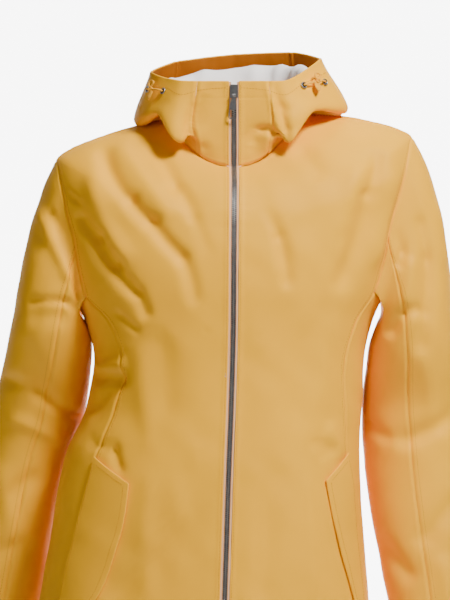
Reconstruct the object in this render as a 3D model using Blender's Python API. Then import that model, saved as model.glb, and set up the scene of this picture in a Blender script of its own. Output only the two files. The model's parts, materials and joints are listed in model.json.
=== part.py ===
"""Hooded parka of woven shell cloth, zipped up, in its worn shape with nothing inside it.

Metres, +Z up, the garment's front towards -Y and its own left side towards +X. The origin is the
middle of the neck opening's base, where a wearer's shoulders hold the garment.

The body is a stack of tilted rounded rings read from TORSO, and its pieces are patches of that
one surface. The hood starts from the same neck ring, and the sleeves from the armhole loops.
Every cloth piece is a wall with its outer points on such a surface and its inner points one
cloth thickness behind, so that neighbours meet with an even seam gap.
"""

import math

import bmesh
import bpy
import numpy as np
from mathutils import Matrix, Vector

# ---------------------------------------------------------------- driving dimensions

CLOTH = 0.0015              # wall of the shell cloth, with its backing
SEAM_GAP = 0.0003           # open line between two sewn pieces
TRIM = SEAM_GAP / 2         # each piece stops this far short of the seam's line
LAY_GAP = 0.0003            # a piece laid on another stays this far off it

ZIP_OPENING = 0.0085        # from the front's middle line to the cloth edge beside the zip
CHAIN_WIDTH = 0.0057        # the row of closed teeth
CHAIN_DEPTH = 0.0022
TAPE_THICKNESS = 0.0010

ROUNDNESS = 2.3             # superellipse power of the body rings, 2 would be an ellipse

ARMPIT = 0.56               # levels on the body, 0 at the hem and 1 at the neck seam
SHOULDER_TIP = 0.80
SHOULDER_SEAM = 84.0        # degrees round from the front's middle, a little forward of the side
TIP_CROWDING = 1.5          # above 1, the armhole's rows stand closer near the shoulder tip
UNDERARM_DIP = 0.018        # how far the armhole's lowest point hangs below its corners, in level

# ---------------------------------------------------------------- tables

# Body rings, hem to neck. Front, side and back points of each ring; x of the zip line.
TORSO_COLUMNS = (
    "level", "front_y", "front_z", "left_x", "left_z", "right_x", "right_z", "back_y", "back_z",
    "zip_x")
TORSO = (
    (0.00, -0.156, -0.655, -0.2400, -0.660, 0.1650, -0.660, 0.150, -0.665, -0.0125),
    (0.12, -0.153, -0.5415, -0.2210, -0.5415, 0.1550, -0.5415, 0.146, -0.545, -0.0097),
    (0.20, -0.150, -0.459, -0.2060, -0.459, 0.1480, -0.459, 0.138, -0.462, -0.0070),
    (0.26, -0.146, -0.400, -0.1970, -0.400, 0.1450, -0.400, 0.131, -0.402, -0.0052),
    (0.30, -0.143, -0.368, -0.1880, -0.368, 0.1440, -0.368, 0.126, -0.368, -0.0040),
    (0.35, -0.139, -0.3226, -0.1670, -0.3226, 0.1470, -0.3226, 0.120, -0.322, -0.0023),
    (0.42, -0.136, -0.265, -0.1585, -0.265, 0.1495, -0.265, 0.116, -0.262, -0.0006),
    (0.49, -0.136, -0.225, -0.1680, -0.225, 0.1580, -0.225, 0.120, -0.215, 0.0003),
    (0.56, -0.137, -0.190, -0.1800, -0.198, 0.1730, -0.190, 0.126, -0.172, 0.0006),
    (0.64, -0.135, -0.152, -0.1930, -0.155, 0.1890, -0.142, 0.130, -0.124, 0.0008),
    (0.72, -0.130, -0.119, -0.2020, -0.105, 0.1990, -0.090, 0.129, -0.075, 0.0011),
    (0.76, -0.127, -0.105, -0.2060, -0.066, 0.2080, -0.040, 0.126, -0.042, 0.0012),
    (0.80, -0.122, -0.092, -0.2010, -0.040, 0.2040, -0.014, 0.120, -0.021, 0.0013),
    (0.84, -0.116, -0.080, -0.1860, -0.028, 0.1880, -0.005, 0.111, -0.011, 0.0014),
    (0.88, -0.109, -0.070, -0.1640, -0.018, 0.1650, 0.003, 0.100, 0.000, 0.0014),
    (0.94, -0.097, -0.058, -0.1210, -0.004, 0.1210, 0.010, 0.083, 0.012, 0.0013),
    (1.00, -0.085, -0.049, -0.0760, 0.008, 0.0770, 0.014, 0.066, 0.020, 0.0010),
)

# Seam angles of the pieces below the armhole, hem to armpit.
SIDE_COLUMNS = ("level", "left_front", "right_front", "back")
SIDE = (
    (0.00, 62.0, 73.0, 118.0),
    (0.12, 60.5, 70.0, 118.0),
    (0.22, 54.0, 64.5, 117.0),
    (0.31, 51.0, 60.5, 116.0),
    (0.40, 50.0, 55.5, 115.0),
    (0.48, 53.0, 59.0, 114.0),
    (0.56, 66.0, 66.0, 113.0),
)

# Armhole edge angles, from the armpit corner (0) to the shoulder tip (1).
ARMHOLE_COLUMNS = ("share", "front", "back")
ARMHOLE = (
    (0.00, 66.0, 113.0),
    (0.35, 64.0, 114.0),
    (0.65, 68.0, 110.0),
    (0.85, 75.0, 99.0),
    (1.00, 84.0, 84.0),
)

# Sleeve rings below the cap: height, outer and inner side seen from the front, depth.
SLEEVE_COLUMNS = ("share", "z", "outer_x", "inner_x", "middle_y", "half_depth")
SLEEVE = {
    "left": (
        (0.00, -0.270, -0.2620, -0.1620, 0.028, 0.074),
        (0.16, -0.325, -0.2760, -0.1690, 0.056, 0.070),
        (0.32, -0.380, -0.2880, -0.1890, 0.068, 0.066),
        (0.50, -0.445, -0.3010, -0.2030, 0.072, 0.062),
        (0.72, -0.525, -0.3170, -0.2160, 0.080, 0.057),
        (1.00, -0.630, -0.3370, -0.2370, 0.086, 0.053),
    ),
    "right": (
        (0.00, -0.270, 0.2590, 0.1530, 0.022, 0.074),
        (0.16, -0.325, 0.2690, 0.1480, 0.038, 0.071),
        (0.32, -0.380, 0.2760, 0.1500, 0.034, 0.067),
        (0.50, -0.445, 0.2820, 0.1585, 0.024, 0.063),
        (0.72, -0.525, 0.2880, 0.1735, 0.012, 0.058),
        (1.00, -0.630, 0.2930, 0.1970, -0.002, 0.053),
    ),
}

# Hood profiles round the neck: top of the near wall, lowest line of the bag, and rim.
HOOD_COLUMNS = (
    "angle", "fold_x", "fold_y", "fold_z", "bag_x", "bag_y", "bag_z", "rim_x", "rim_y", "rim_z")
HOOD = (
    (0.0, 0.000, -0.087, -0.018, 0.000, -0.089, 0.014, 0.000, -0.091, 0.0460),
    (4.6, 0.0088, -0.087, -0.018, 0.0090, -0.089, 0.013, 0.0092, -0.091, 0.0460),
    (24.0, 0.037, -0.087, -0.022, 0.039, -0.091, 0.002, 0.036, -0.092, 0.0460),
    (40.0, 0.055, -0.074, -0.012, 0.064, -0.094, -0.020, 0.056, -0.089, 0.0465),
    (58.0, 0.073, -0.058, 0.022, 0.088, -0.068, 0.012, 0.074, -0.074, 0.0520),
    (84.0, 0.084, -0.006, 0.050, 0.116, -0.014, 0.006, 0.098, -0.036, 0.0665),
    (108.0, 0.079, 0.040, 0.057, 0.120, 0.058, 0.010, 0.098, 0.030, 0.0690),
    (128.0, 0.064, 0.070, 0.060, 0.110, 0.122, -0.008, 0.091, 0.071, 0.0735),
    (148.0, 0.044, 0.088, 0.064, 0.080, 0.156, -0.068, 0.067, 0.107, 0.0815),
    (180.0, 0.000, 0.094, 0.066, 0.000, 0.172, -0.105, 0.000, 0.122, 0.0850),
)

# Large soft folds. Columns: surface, x0, z0, x1, z1, bow, width, depth. Both ends are as seen from
# the front. A positive depth sinks into the cloth and a negative one stands out of it.
FOLDS = (
    ("front", -0.147, -0.030, -0.041, -0.195, -0.012, 0.015, 0.0050),
    ("front", -0.174, -0.103, -0.098, -0.212, -0.010, 0.016, 0.0055),
    ("front", -0.091, -0.030, -0.023, -0.143, 0.006, 0.014, 0.0035),
    ("front", -0.160, -0.062, -0.118, -0.150, -0.006, 0.013, -0.0025),
    ("front", 0.035, -0.099, 0.062, -0.179, 0.006, 0.014, 0.0030),
    ("front", 0.164, -0.037, 0.122, -0.179, 0.008, 0.018, 0.0050),
    ("front", 0.108, -0.343, 0.118, -0.373, 0.000, 0.014, -0.0030),
    ("front", -0.155, -0.288, -0.125, -0.286, 0.000, 0.010, 0.0040),
    ("front", -0.125, -0.288, -0.160, -0.325, 0.000, 0.014, 0.0040),
    ("front", -0.058, -0.453, -0.133, -0.529, 0.004, 0.018, 0.0030),
    ("back", -0.150, -0.060, -0.060, -0.200, -0.012, 0.018, 0.0050),
    ("back", 0.150, -0.060, 0.055, -0.215, 0.012, 0.018, 0.0050),
    ("back", -0.120, -0.290, 0.090, -0.275, 0.010, 0.016, 0.0045),
    ("back", -0.140, -0.350, 0.110, -0.335, -0.012, 0.018, 0.0035),
    ("back", -0.090, -0.420, -0.110, -0.620, 0.008, 0.022, 0.0045),
    ("back", 0.070, -0.410, 0.085, -0.620, -0.006, 0.022, 0.0040),
    ("sleeve_front", -0.209, -0.099, -0.176, -0.190, 0.008, 0.012, 0.0050),
    ("sleeve_front", -0.220, -0.105, -0.180, -0.205, -0.006, 0.011, -0.0030),
    ("sleeve_front", -0.232, -0.201, -0.184, -0.204, 0.004, 0.010, 0.0040),
    ("sleeve_front", -0.262, -0.290, -0.200, -0.315, 0.006, 0.014, 0.0040),
    ("sleeve_front", -0.280, -0.440, -0.225, -0.400, 0.006, 0.014, 0.0030),
    ("sleeve_front", 0.212, -0.108, 0.212, -0.254, 0.010, 0.013, 0.0045),
    ("sleeve_front", 0.210, -0.209, 0.180, -0.236, 0.000, 0.012, 0.0040),
    ("sleeve_front", 0.250, -0.330, 0.190, -0.360, 0.004, 0.014, 0.0035),
    ("sleeve_front", 0.200, -0.474, 0.170, -0.500, 0.000, 0.014, 0.0030),
    ("sleeve_back", -0.215, -0.120, -0.200, -0.230, 0.006, 0.014, 0.0045),
    ("sleeve_back", -0.285, -0.340, -0.215, -0.360, 0.006, 0.014, 0.0050),
    ("sleeve_back", -0.290, -0.400, -0.225, -0.390, -0.004, 0.014, 0.0040),
    ("sleeve_back", 0.218, -0.120, 0.205, -0.230, -0.006, 0.014, 0.0045),
    ("sleeve_back", 0.255, -0.350, 0.180, -0.335, 0.006, 0.014, 0.0050),
    ("sleeve_back", 0.262, -0.400, 0.185, -0.410, 0.004, 0.014, 0.0040),
)


# ---------------------------------------------------------------- reading the tables

class Track:
    """A table whose columns are read at any value of its first column, without overshoot."""

    def __init__(self, columns, rows):
        data = np.array(rows, dtype=float)
        self.keys = data[:, 0]
        self.curves = {name: data[:, i] for i, name in enumerate(columns)}
        self.slopes = {name: self.level_slopes(curve) for name, curve in self.curves.items()}

    def level_slopes(self, curve):
        """Slopes at the rows, flat wherever the column turns back."""
        steps = np.diff(self.keys)
        rates = np.diff(curve) / steps
        slopes = np.empty_like(curve)
        slopes[0], slopes[-1] = rates[0], rates[-1]
        for i in range(1, len(curve) - 1):
            before, after = rates[i - 1], rates[i]
            if before * after <= 0.0:
                slopes[i] = 0.0
            else:
                slopes[i] = 2.0 * before * after / (before + after)
        return slopes

    def read(self, name, key):
        """The named column at this key, as a smooth cubic between its rows."""
        key = min(max(key, self.keys[0]), self.keys[-1])
        i = min(int(np.searchsorted(self.keys, key, side="right")) - 1, len(self.keys) - 2)
        step = self.keys[i + 1] - self.keys[i]
        t = (key - self.keys[i]) / step
        curve, slopes = self.curves[name], self.slopes[name]
        rise = t * t * (3.0 - 2.0 * t)
        start_pull = t * (1.0 - t) ** 2
        end_pull = t * t * (t - 1.0)
        return (curve[i] + (curve[i + 1] - curve[i]) * rise
                + step * (slopes[i] * start_pull + slopes[i + 1] * end_pull))


TORSO_TRACK = Track(TORSO_COLUMNS, TORSO)
SIDE_TRACK = Track(SIDE_COLUMNS, SIDE)
ARMHOLE_TRACK = Track(ARMHOLE_COLUMNS, ARMHOLE)
HOOD_TRACK = Track(HOOD_COLUMNS, HOOD)
SLEEVE_TRACKS = {side: Track(SLEEVE_COLUMNS, rows) for side, rows in SLEEVE.items()}
SIGN = {"left": -1.0, "right": 1.0}


def blend(a, b, share):
    return a + (b - a) * share


def ease(t):
    """0 to 1 with level ends."""
    t = min(max(t, 0.0), 1.0)
    return t * t * (3.0 - 2.0 * t)


def rounded(value, power):
    """The superellipse's version of a sine or cosine."""
    return math.copysign(abs(value) ** (2.0 / power), value)


# ---------------------------------------------------------------- folds

def distance_to_bowed_line(x, z, fold):
    """Distance from a point to a fold's line, and how far along the line it is."""
    _, x0, z0, x1, z1, bow, _, _ = fold
    along_x, along_z = x1 - x0, z1 - z0
    length = math.hypot(along_x, along_z)
    share = ((x - x0) * along_x + (z - z0) * along_z) / length ** 2
    held = min(max(share, 0.0), 1.0)
    side = bow * 4.0 * held * (1.0 - held)
    line_x = x0 + along_x * held - along_z / length * side
    line_z = z0 + along_z * held + along_x / length * side
    return math.hypot(x - line_x, z - line_z), share


def fold_offset(surface, x, z):
    """How far the folds of one surface move its point outwards there."""
    offset = 0.0
    for fold in FOLDS:
        if fold[0] != surface:
            continue
        distance, share = distance_to_bowed_line(x, z, fold)
        width, depth = fold[6], fold[7]
        if distance < 3.0 * width:
            ends = ease((share + 0.25) / 0.4) * ease((1.25 - share) / 0.4)
            offset -= depth * math.exp(-(distance / width) ** 2) * ends
    return offset


# ---------------------------------------------------------------- surfaces

def half_turned(angle):
    """The same angle between -180 and 180 degrees."""
    return (angle + 180.0) % 360.0 - 180.0


def torso_form(angle, level):
    """The body without folds. The angle runs from the front's middle, negative to -X."""
    read = TORSO_TRACK.read
    angle = half_turned(angle)
    turn = math.radians(angle)
    zip_x = read("zip_x", level)
    side = "right" if angle >= 0.0 else "left"
    reach = read(side + "_x", level) - zip_x
    forward, sideways = math.cos(turn), abs(math.sin(turn))
    x = zip_x + reach * rounded(sideways, ROUNDNESS)
    end_y = read("front_y" if forward >= 0.0 else "back_y", level)
    end_z = read("front_z" if forward >= 0.0 else "back_z", level)
    y = end_y * abs(rounded(forward, ROUNDNESS))
    side_z = read(side + "_z", level)
    z = side_z + (end_z - side_z) * forward ** 2
    return Vector((x, y, z))


def torso_point(angle, level):
    """The body's outer point with its folds, which fade towards the seams and edges."""
    angle = half_turned(angle)
    point = torso_form(angle, level)
    surface = "front" if abs(angle) < 90.0 else "back"
    offset = fold_offset(surface, point.x, point.z)
    if offset == 0.0:
        return point
    turn = abs(abs(angle) - 90.0)
    fade = ease((abs(angle) - 3.0) / 12.0) * ease(turn / 14.0) * ease((1.0 - level) / 0.06)
    return point + surface_normal(torso_form, angle, level) * offset * fade


def surface_normal(surface, u, v, du=0.5, dv=0.004):
    """Outward normal from central differences. Surfaces run round with u and along with v."""
    across = surface(u + du, v) - surface(u - du, v)
    along = surface(u, min(v + dv, 1.0)) - surface(u, max(v - dv, 0.0))
    return across.cross(along).normalized()


def armhole_level(share):
    """Body level of the armhole edge, from the armpit corner (0) to the shoulder tip (1)."""
    return blend(ARMPIT, SHOULDER_TIP, 1.0 - (1.0 - share) ** TIP_CROWDING)


def armhole_share(level):
    held = min(max((level - ARMPIT) / (SHOULDER_TIP - ARMPIT), 0.0), 1.0)
    return 1.0 - (1.0 - held) ** (1.0 / TIP_CROWDING)


def front_edge_angle(side, level):
    """Where the front piece ends: side-front seam, armhole edge, then shoulder seam."""
    if level >= SHOULDER_TIP:
        return SHOULDER_SEAM
    if level > ARMPIT:
        return ARMHOLE_TRACK.read("front", armhole_share(level))
    return SIDE_TRACK.read(side + "_front", level)


def back_edge_angle(level):
    if level >= SHOULDER_TIP:
        return SHOULDER_SEAM
    if level > ARMPIT:
        return ARMHOLE_TRACK.read("back", armhole_share(level))
    return SIDE_TRACK.read("back", level)


def underarm_level(share):
    """Top of the side piece, which dips between the armhole's two lower corners."""
    return ARMPIT - UNDERARM_DIP * 4.0 * share * (1.0 - share)


# Angles round a sleeve: 0 in front, 90 outside, 180 behind, and the underarm between its corners.
FRONT_CORNER, CAP_TOP, BACK_CORNER = -50.0, 90.0, 230.0
CAP_SHARE = 0.36            # part of the sleeve's rows that belongs to the cap
CAP_PULL = 0.9              # how straight the cap leaves the armhole
CAP_LIFT = {"left": 0.064, "right": 0.100}    # how broadly it stands out over the shoulder
UNDERARM_LIFT = 0.055       # and how broadly its underside stands off the body
SLEEVE_ROUNDNESS = 2.15     # superellipse power of the sleeve rings


def armhole_point(side, angle):
    """A point of the armhole loop, on the folded body."""
    sign = SIGN[side]
    if angle <= CAP_TOP:
        share = (angle - FRONT_CORNER) / (CAP_TOP - FRONT_CORNER)
        return torso_point(sign * ARMHOLE_TRACK.read("front", share), armhole_level(share))
    if angle <= BACK_CORNER:
        share = (BACK_CORNER - angle) / (BACK_CORNER - CAP_TOP)
        return torso_point(sign * ARMHOLE_TRACK.read("back", share), armhole_level(share))
    share = (angle - BACK_CORNER) / (FRONT_CORNER + 360.0 - BACK_CORNER)
    turn = blend(back_edge_angle(ARMPIT), front_edge_angle(side, ARMPIT), share)
    return torso_point(sign * turn, underarm_level(share))


def sleeve_ring_point(side, angle, share):
    read = SLEEVE_TRACKS[side].read
    turn = math.radians(angle)
    outer, inner = read("outer_x", share), read("inner_x", share)
    x = (outer + inner) / 2.0 + (outer - inner) / 2.0 * rounded(math.sin(turn), SLEEVE_ROUNDNESS)
    y = read("middle_y", share) - read("half_depth", share) * rounded(math.cos(turn), SLEEVE_ROUNDNESS)
    return Vector((x, y, read("z", share)))


def sleeve_form(side, angle, share):
    """The sleeve without folds, from the armhole (0) to the cuff (1)."""
    angle = (angle - FRONT_CORNER) % 360.0 + FRONT_CORNER
    if share >= CAP_SHARE:
        return sleeve_ring_point(side, angle, (share - CAP_SHARE) / (1.0 - CAP_SHARE))
    start = armhole_point(side, angle)
    end = sleeve_ring_point(side, angle, 0.0)
    chord = end - start
    outward = Vector((SIGN[side], 0.0, 0.0))
    height = math.sin(math.radians(angle))
    lift = max(height, 0.0) * CAP_LIFT[side] + max(-height, 0.0) * UNDERARM_LIFT
    start_pull = chord * CAP_PULL + outward * lift
    step = 0.02
    below = sleeve_ring_point(side, angle, step) - end
    end_pull = below / step * CAP_SHARE / (1.0 - CAP_SHARE)
    return hermite((start, end), (start_pull, end_pull), (0.0, 1.0), share / CAP_SHARE)


def sleeve_point(side, angle, share):
    point = sleeve_form(side, angle, share)
    surface = "sleeve_front" if math.cos(math.radians(angle)) > 0.0 else "sleeve_back"
    offset = fold_offset(surface, point.x, point.z)
    if offset == 0.0:
        return point
    fade = ease(abs(math.cos(math.radians(angle))) / 0.5) * ease(share / 0.10)
    return point + sleeve_normal(side, angle, share) * offset * fade


def sleeve_normal(side, angle, share):
    normal = surface_normal(lambda u, v: sleeve_form(side, u, v), angle, share, 1.0, 0.01)
    return normal * -SIGN[side]


def hood_form(angle, share):
    """The hood from the neck seam (0) to the rim (1), through its top fold and hanging bag."""
    angle = half_turned(angle)
    sign = -1.0 if angle < 0.0 else 1.0
    turn = abs(angle)
    read = HOOD_TRACK.read
    seam = torso_form(angle, 1.0)
    stops = [seam]
    aside = ease((turn - 40.0) / 40.0)
    zip_x = TORSO_TRACK.read("zip_x", 1.0) * ease(1.0 - turn / 24.0)
    for stop in ("fold", "bag", "rim"):
        shift = HOOD_SHIFTS[stop] * aside * abs(math.sin(math.radians(turn)))
        x = zip_x + sign * read(stop + "_x", turn) + shift
        z = read(stop + "_z", turn) + x * HOOD_TILTS[stop] * aside
        stops.append(Vector((x, read(stop + "_y", turn), z)))
    return through(stops, turn, share)


HOOD_TILTS = {"fold": 0.10, "bag": 0.06, "rim": 0.078}    # it sits a little higher towards +X
HOOD_SHIFTS = {"fold": 0.0, "bag": 0.010, "rim": 0.003}    # and hangs a little further out there
HOOD_STOPS = (0.0, 0.30, 0.62, 1.0)     # shares of the hood's profile at its four stops
FOLD_PULL = 0.11            # how broadly the cloth turns over at its top fold
BAG_PULL = 0.115             # and under at the bag's lowest line


def through(stops, turn, share):
    """A smooth line through four stops. From the side on it rolls outwards at both bends."""
    share = min(max(share, 0.0), 1.0)
    i = 0 if share < HOOD_STOPS[1] else 1 if share < HOOD_STOPS[2] else 2
    rates = [(stops[k + 1] - stops[k]) / (HOOD_STOPS[k + 1] - HOOD_STOPS[k]) for k in range(3)]
    outward = Vector((stops[2].x, stops[2].y, 0.0)).normalized()
    rolled = ease((turn - 24.0) / 40.0)
    at_fold = (rates[0] + rates[1]) / 2.0
    at_bag = (rates[1] + rates[2]) / 2.0
    slopes = [
        rates[0],
        at_fold.lerp(outward * FOLD_PULL, rolled),
        at_bag.lerp(outward * BAG_PULL, rolled),
        rates[2]]
    return hermite(stops[i:i + 2], slopes[i:i + 2], HOOD_STOPS[i:i + 2], share)


def hermite(ends, slopes, shares, share):
    """The cubic between two points with given slopes."""
    step = shares[1] - shares[0]
    t = (share - shares[0]) / step
    return (ends[0] * (2 * t ** 3 - 3 * t ** 2 + 1) + slopes[0] * step * (t ** 3 - 2 * t ** 2 + t)
            + ends[1] * (3 * t ** 2 - 2 * t ** 3) + slopes[1] * step * (t ** 3 - t ** 2))


def hood_normal(angle, share):
    return surface_normal(hood_form, angle, share, 1.0, 0.01)


def torso_normal(angle, level):
    return surface_normal(torso_point, angle, level)


# ---------------------------------------------------------------- meshes

def material(name, color, roughness, metallic=0.0):
    made = bpy.data.materials.new(name)
    made.use_nodes = True
    shader = made.node_tree.nodes["Principled BSDF"]
    shader.inputs["Base Color"].default_value = (*color, 1.0)
    shader.inputs["Roughness"].default_value = roughness
    shader.inputs["Metallic"].default_value = metallic
    return made


def new_object(name, mesh, look):
    obj = bpy.data.objects.new(name, mesh)
    PARTS.objects.link(obj)
    obj.data.materials.clear()
    obj.data.materials.append(look)
    return obj


def drawn_in(rows, trims):
    """A grid of points with its four edges moved in: start column, end column, first, last row."""
    first_column, last_column, first_row, last_row = trims
    grid = [list(row) for row in rows]
    for row in grid:
        row[0] = row[0] + (row[1] - row[0]).normalized() * first_column
        row[-1] = row[-1] + (row[-2] - row[-1]).normalized() * last_column
    for j in range(len(grid[0])):
        grid[0][j] = grid[0][j] + (grid[1][j] - grid[0][j]).normalized() * first_row
        grid[-1][j] = grid[-1][j] + (grid[-2][j] - grid[-1][j]).normalized() * last_row
    return grid


def wall(name, outer, inner, look):
    """A closed wall between two equal grids of points: a loft between unlike sections.

    Both skins split their squares along the same diagonal, so that layers stay parallel.
    """
    mesh = bpy.data.meshes.new(name)
    bm = bmesh.new()
    skins = [[[bm.verts.new(point) for point in row] for row in grid] for grid in (outer, inner)]
    rows, columns = len(outer), len(outer[0])
    for skin in skins:
        for i in range(rows - 1):
            for j in range(columns - 1):
                near, far = skin[i][j], skin[i + 1][j + 1]
                bm.faces.new((near, skin[i][j + 1], far))
                bm.faces.new((near, far, skin[i + 1][j]))
    border = [(0, j) for j in range(columns - 1)]
    border += [(i, columns - 1) for i in range(rows - 1)]
    border += [(rows - 1, j) for j in range(columns - 1, 0, -1)]
    border += [(i, 0) for i in range(rows - 1, 0, -1)]
    for (i, j), (k, m) in zip(border, border[1:] + border[:1]):
        bm.faces.new((skins[0][i][j], skins[0][k][m], skins[1][k][m], skins[1][i][j]))
    bmesh.ops.recalc_face_normals(bm, faces=bm.faces)
    if bm.calc_volume(signed=True) < 0.0:
        bmesh.ops.reverse_faces(bm, faces=bm.faces)
    bm.to_mesh(mesh)
    bm.free()
    obj = new_object(name, mesh, look)
    mesh.shade_smooth()
    mesh.set_sharp_from_angle(angle=math.radians(50.0))
    return obj


def cloth_piece(name, point, normal, places, look, trims, lift=0.0, thickness=CLOTH):
    """A wall on a surface. Places is a grid of (u, v), and lift moves both skins outwards."""
    middle = [[point(u, v) for u, v in row] for row in places]
    outwards = [[normal(u, v) for u, v in row] for row in places]
    outer = [[p + n * lift for p, n in zip(*pair)] for pair in zip(middle, outwards)]
    inner = [[p + n * (lift - thickness) for p, n in zip(*pair)] for pair in zip(middle, outwards)]
    return wall(name, drawn_in(outer, trims), drawn_in(inner, trims), look)


def spread(start, end, steps):
    return [blend(start, end, i / steps) for i in range(steps + 1)]


# ---------------------------------------------------------------- body panels

BODY_ROWS = 16              # rows of each piece from the hem to the armpit
ARMHOLE_ROWS = 10           # rows along each edge of the armhole
SHOULDER_ROWS = 5           # rows from the shoulder tip to the neck seam
FRONT_COLUMNS = 10
SIDE_STEPS = 4
BACK_COLUMNS = 12
COLLAR_COLUMNS = 3          # of the front's columns, those that the collar front continues

LOWER_LEVELS = spread(0.0, ARMPIT, BODY_ROWS)
ARM_LEVELS = [armhole_level(share) for share in spread(0.0, 1.0, ARMHOLE_ROWS)]
UPPER_LEVELS = spread(SHOULDER_TIP, 1.0, SHOULDER_ROWS)
PANEL_LEVELS = LOWER_LEVELS + ARM_LEVELS[1:] + UPPER_LEVELS[1:]


def angle_at_offset(side, level, offset):
    """The angle whose point stands this far sideways from the zip line."""
    reach = abs(TORSO_TRACK.read(side + "_x", level) - TORSO_TRACK.read("zip_x", level))
    return math.degrees(math.asin((offset / reach) ** (ROUNDNESS / 2.0)))


def front_panel(side):
    sign = SIGN[side]
    places = []
    for level in PANEL_LEVELS:
        start = angle_at_offset(side, level, ZIP_OPENING)
        end = front_edge_angle(side, level)
        places.append([(sign * angle, level) for angle in spread(start, end, FRONT_COLUMNS)])
    trims = (0.0, TRIM, 0.0, TRIM)
    return cloth_piece("front_" + side, torso_point, torso_normal, places, SHELL, trims)


def side_panel(side):
    sign = SIGN[side]
    places = []
    for level in LOWER_LEVELS[:-1]:
        start, end = front_edge_angle(side, level), back_edge_angle(level)
        places.append([(sign * angle, level) for angle in spread(start, end, SIDE_STEPS)])
    start, end = front_edge_angle(side, ARMPIT), back_edge_angle(ARMPIT)
    shares = spread(1.0, 0.0, SIDE_STEPS)
    places.append([(sign * blend(end, start, share), underarm_level(share)) for share in shares])
    trims = (TRIM, TRIM, 0.0, TRIM)
    return cloth_piece("side_" + side, torso_point, torso_normal, places, SHELL, trims)


def back_panel():
    places = []
    for level in PANEL_LEVELS:
        start = back_edge_angle(level)
        turns = spread(start, 360.0 - start, BACK_COLUMNS)
        places.append([(turn if turn <= 180.0 else turn - 360.0, level) for turn in turns])
    trims = (TRIM, TRIM, 0.0, TRIM)
    return cloth_piece("back", torso_point, torso_normal, places, SHELL, trims)


# ---------------------------------------------------------------- sleeves

SLEEVE_SEAM_STEPS = 3       # the sleeve's two long seams start this many armhole rows up
SLEEVE_TRIM = 0.0006        # and stand a little further open, as the cloth bends sharply there
CAP_ROWS = 7
ARM_ROWS = 12
SLEEVE_SHARES = spread(0.0, CAP_SHARE, CAP_ROWS) + spread(CAP_SHARE, 1.0, ARM_ROWS)[1:]


def sleeve_angles():
    """Angles round a sleeve at the body's own armhole rows, from the front corner on."""
    front = spread(FRONT_CORNER, CAP_TOP, ARMHOLE_ROWS)
    behind = spread(CAP_TOP, BACK_CORNER, ARMHOLE_ROWS)
    under = spread(BACK_CORNER, FRONT_CORNER + 360.0, SIDE_STEPS)
    return front + behind[1:] + under[1:]


def sleeve_pieces(side):
    angles = sleeve_angles()
    first, last = SLEEVE_SEAM_STEPS, 2 * ARMHOLE_ROWS - SLEEVE_SEAM_STEPS
    upper = angles[first:last + 1]
    under = angles[last:-1] + [angle + 360.0 for angle in angles[:first + 1]]
    trims = (SLEEVE_TRIM, SLEEVE_TRIM, TRIM, 0.0)
    for name, turns in (("upper", upper), ("under", under)):
        places = [[(turn, share) for turn in turns] for share in SLEEVE_SHARES]
        cloth_piece(
            "sleeve_" + name + "_" + side,
            lambda u, v: sleeve_point(side, wrapped(u), v),
            lambda u, v: sleeve_normal(side, wrapped(u), v),
            places, SHELL, trims)


def wrapped(angle):
    """The same sleeve angle between the front corner and one turn on."""
    return (angle - FRONT_CORNER) % 360.0 + FRONT_CORNER


# ---------------------------------------------------------------- hood

# Rows of the hood's profile, closest together at its two bends.
HOOD_SHARES = (0.0, 0.09, 0.17, 0.24, 0.30, 0.36, 0.44, 0.52, 0.57, 0.62, 0.67, 0.73, 0.81, 0.90,
               1.0)
HOOD_TRIM = 0.0007         # the hood's seams bend sharply, so they stand a little further open


def neck_turns():
    """Angles of the hood's columns, which follow the body's columns at the neck seam."""
    start = angle_at_offset("right", 1.0, ZIP_OPENING)
    front = spread(start, SHOULDER_SEAM, FRONT_COLUMNS)
    half_back = spread(SHOULDER_SEAM, 180.0, BACK_COLUMNS // 2)
    return front + half_back[1:]


HOOD_SIDE_BACK_STEPS = 4    # of the back's columns, those that each hood side takes


def hood_piece(name, turns, look=None, shares=None, lift=0.0, trims=None):
    shares = shares or HOOD_SHARES
    places = [[(turn if turn <= 180.0 else turn - 360.0, share) for turn in turns]
              for share in shares]
    trims = trims or (HOOD_TRIM, HOOD_TRIM, HOOD_TRIM, 0.0)
    return cloth_piece(name, hood_form, hood_normal, places, look or SHELL, trims, lift)


def hood_pieces():
    turns = neck_turns()
    side_end = FRONT_COLUMNS + HOOD_SIDE_BACK_STEPS
    for side, sign in SIGN.items():
        front = sorted(sign * turn for turn in turns[:COLLAR_COLUMNS + 1])
        sides = sorted(sign * turn for turn in turns[COLLAR_COLUMNS:side_end + 1])
        zip_edge_trims = (0.0, HOOD_TRIM) if side == "right" else (HOOD_TRIM, 0.0)
        hood_piece("collar_front_" + side, front, trims=(*zip_edge_trims, HOOD_TRIM, 0.0))
        hood_piece("hood_side_" + side, sides)
    behind = turns[side_end:]
    hood_piece("hood_centre", behind + [360.0 - turn for turn in reversed(behind[:-1])])


# ---------------------------------------------------------------- hood lining

LINING_THICKNESS = 0.0010
LINING_ROWS = slice(1, 8)   # of the hood's rows: up the near wall and over its top fold


def hood_lining():
    turns = neck_turns()[COLLAR_COLUMNS + 1:]
    turns = turns + [360.0 - turn for turn in reversed(turns[:-1])]
    places = [[(turn, share) for turn in turns] for share in HOOD_SHARES[LINING_ROWS]]
    behind = -(CLOTH + LAY_GAP)
    cloth_piece("hood_lining", hood_form, hood_normal, places, LINING, (0.0, 0.0, 0.0, 0.0),
                behind, LINING_THICKNESS)


# ---------------------------------------------------------------- pocket flaps

FLAP_THICKNESS = 0.0022     # two layers with a stiffener between
FLAP_STANDOFF = 0.0012      # clear of the panel's folds
FLAP_ACROSS = 4
FLAP_DOWN = 10

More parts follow.
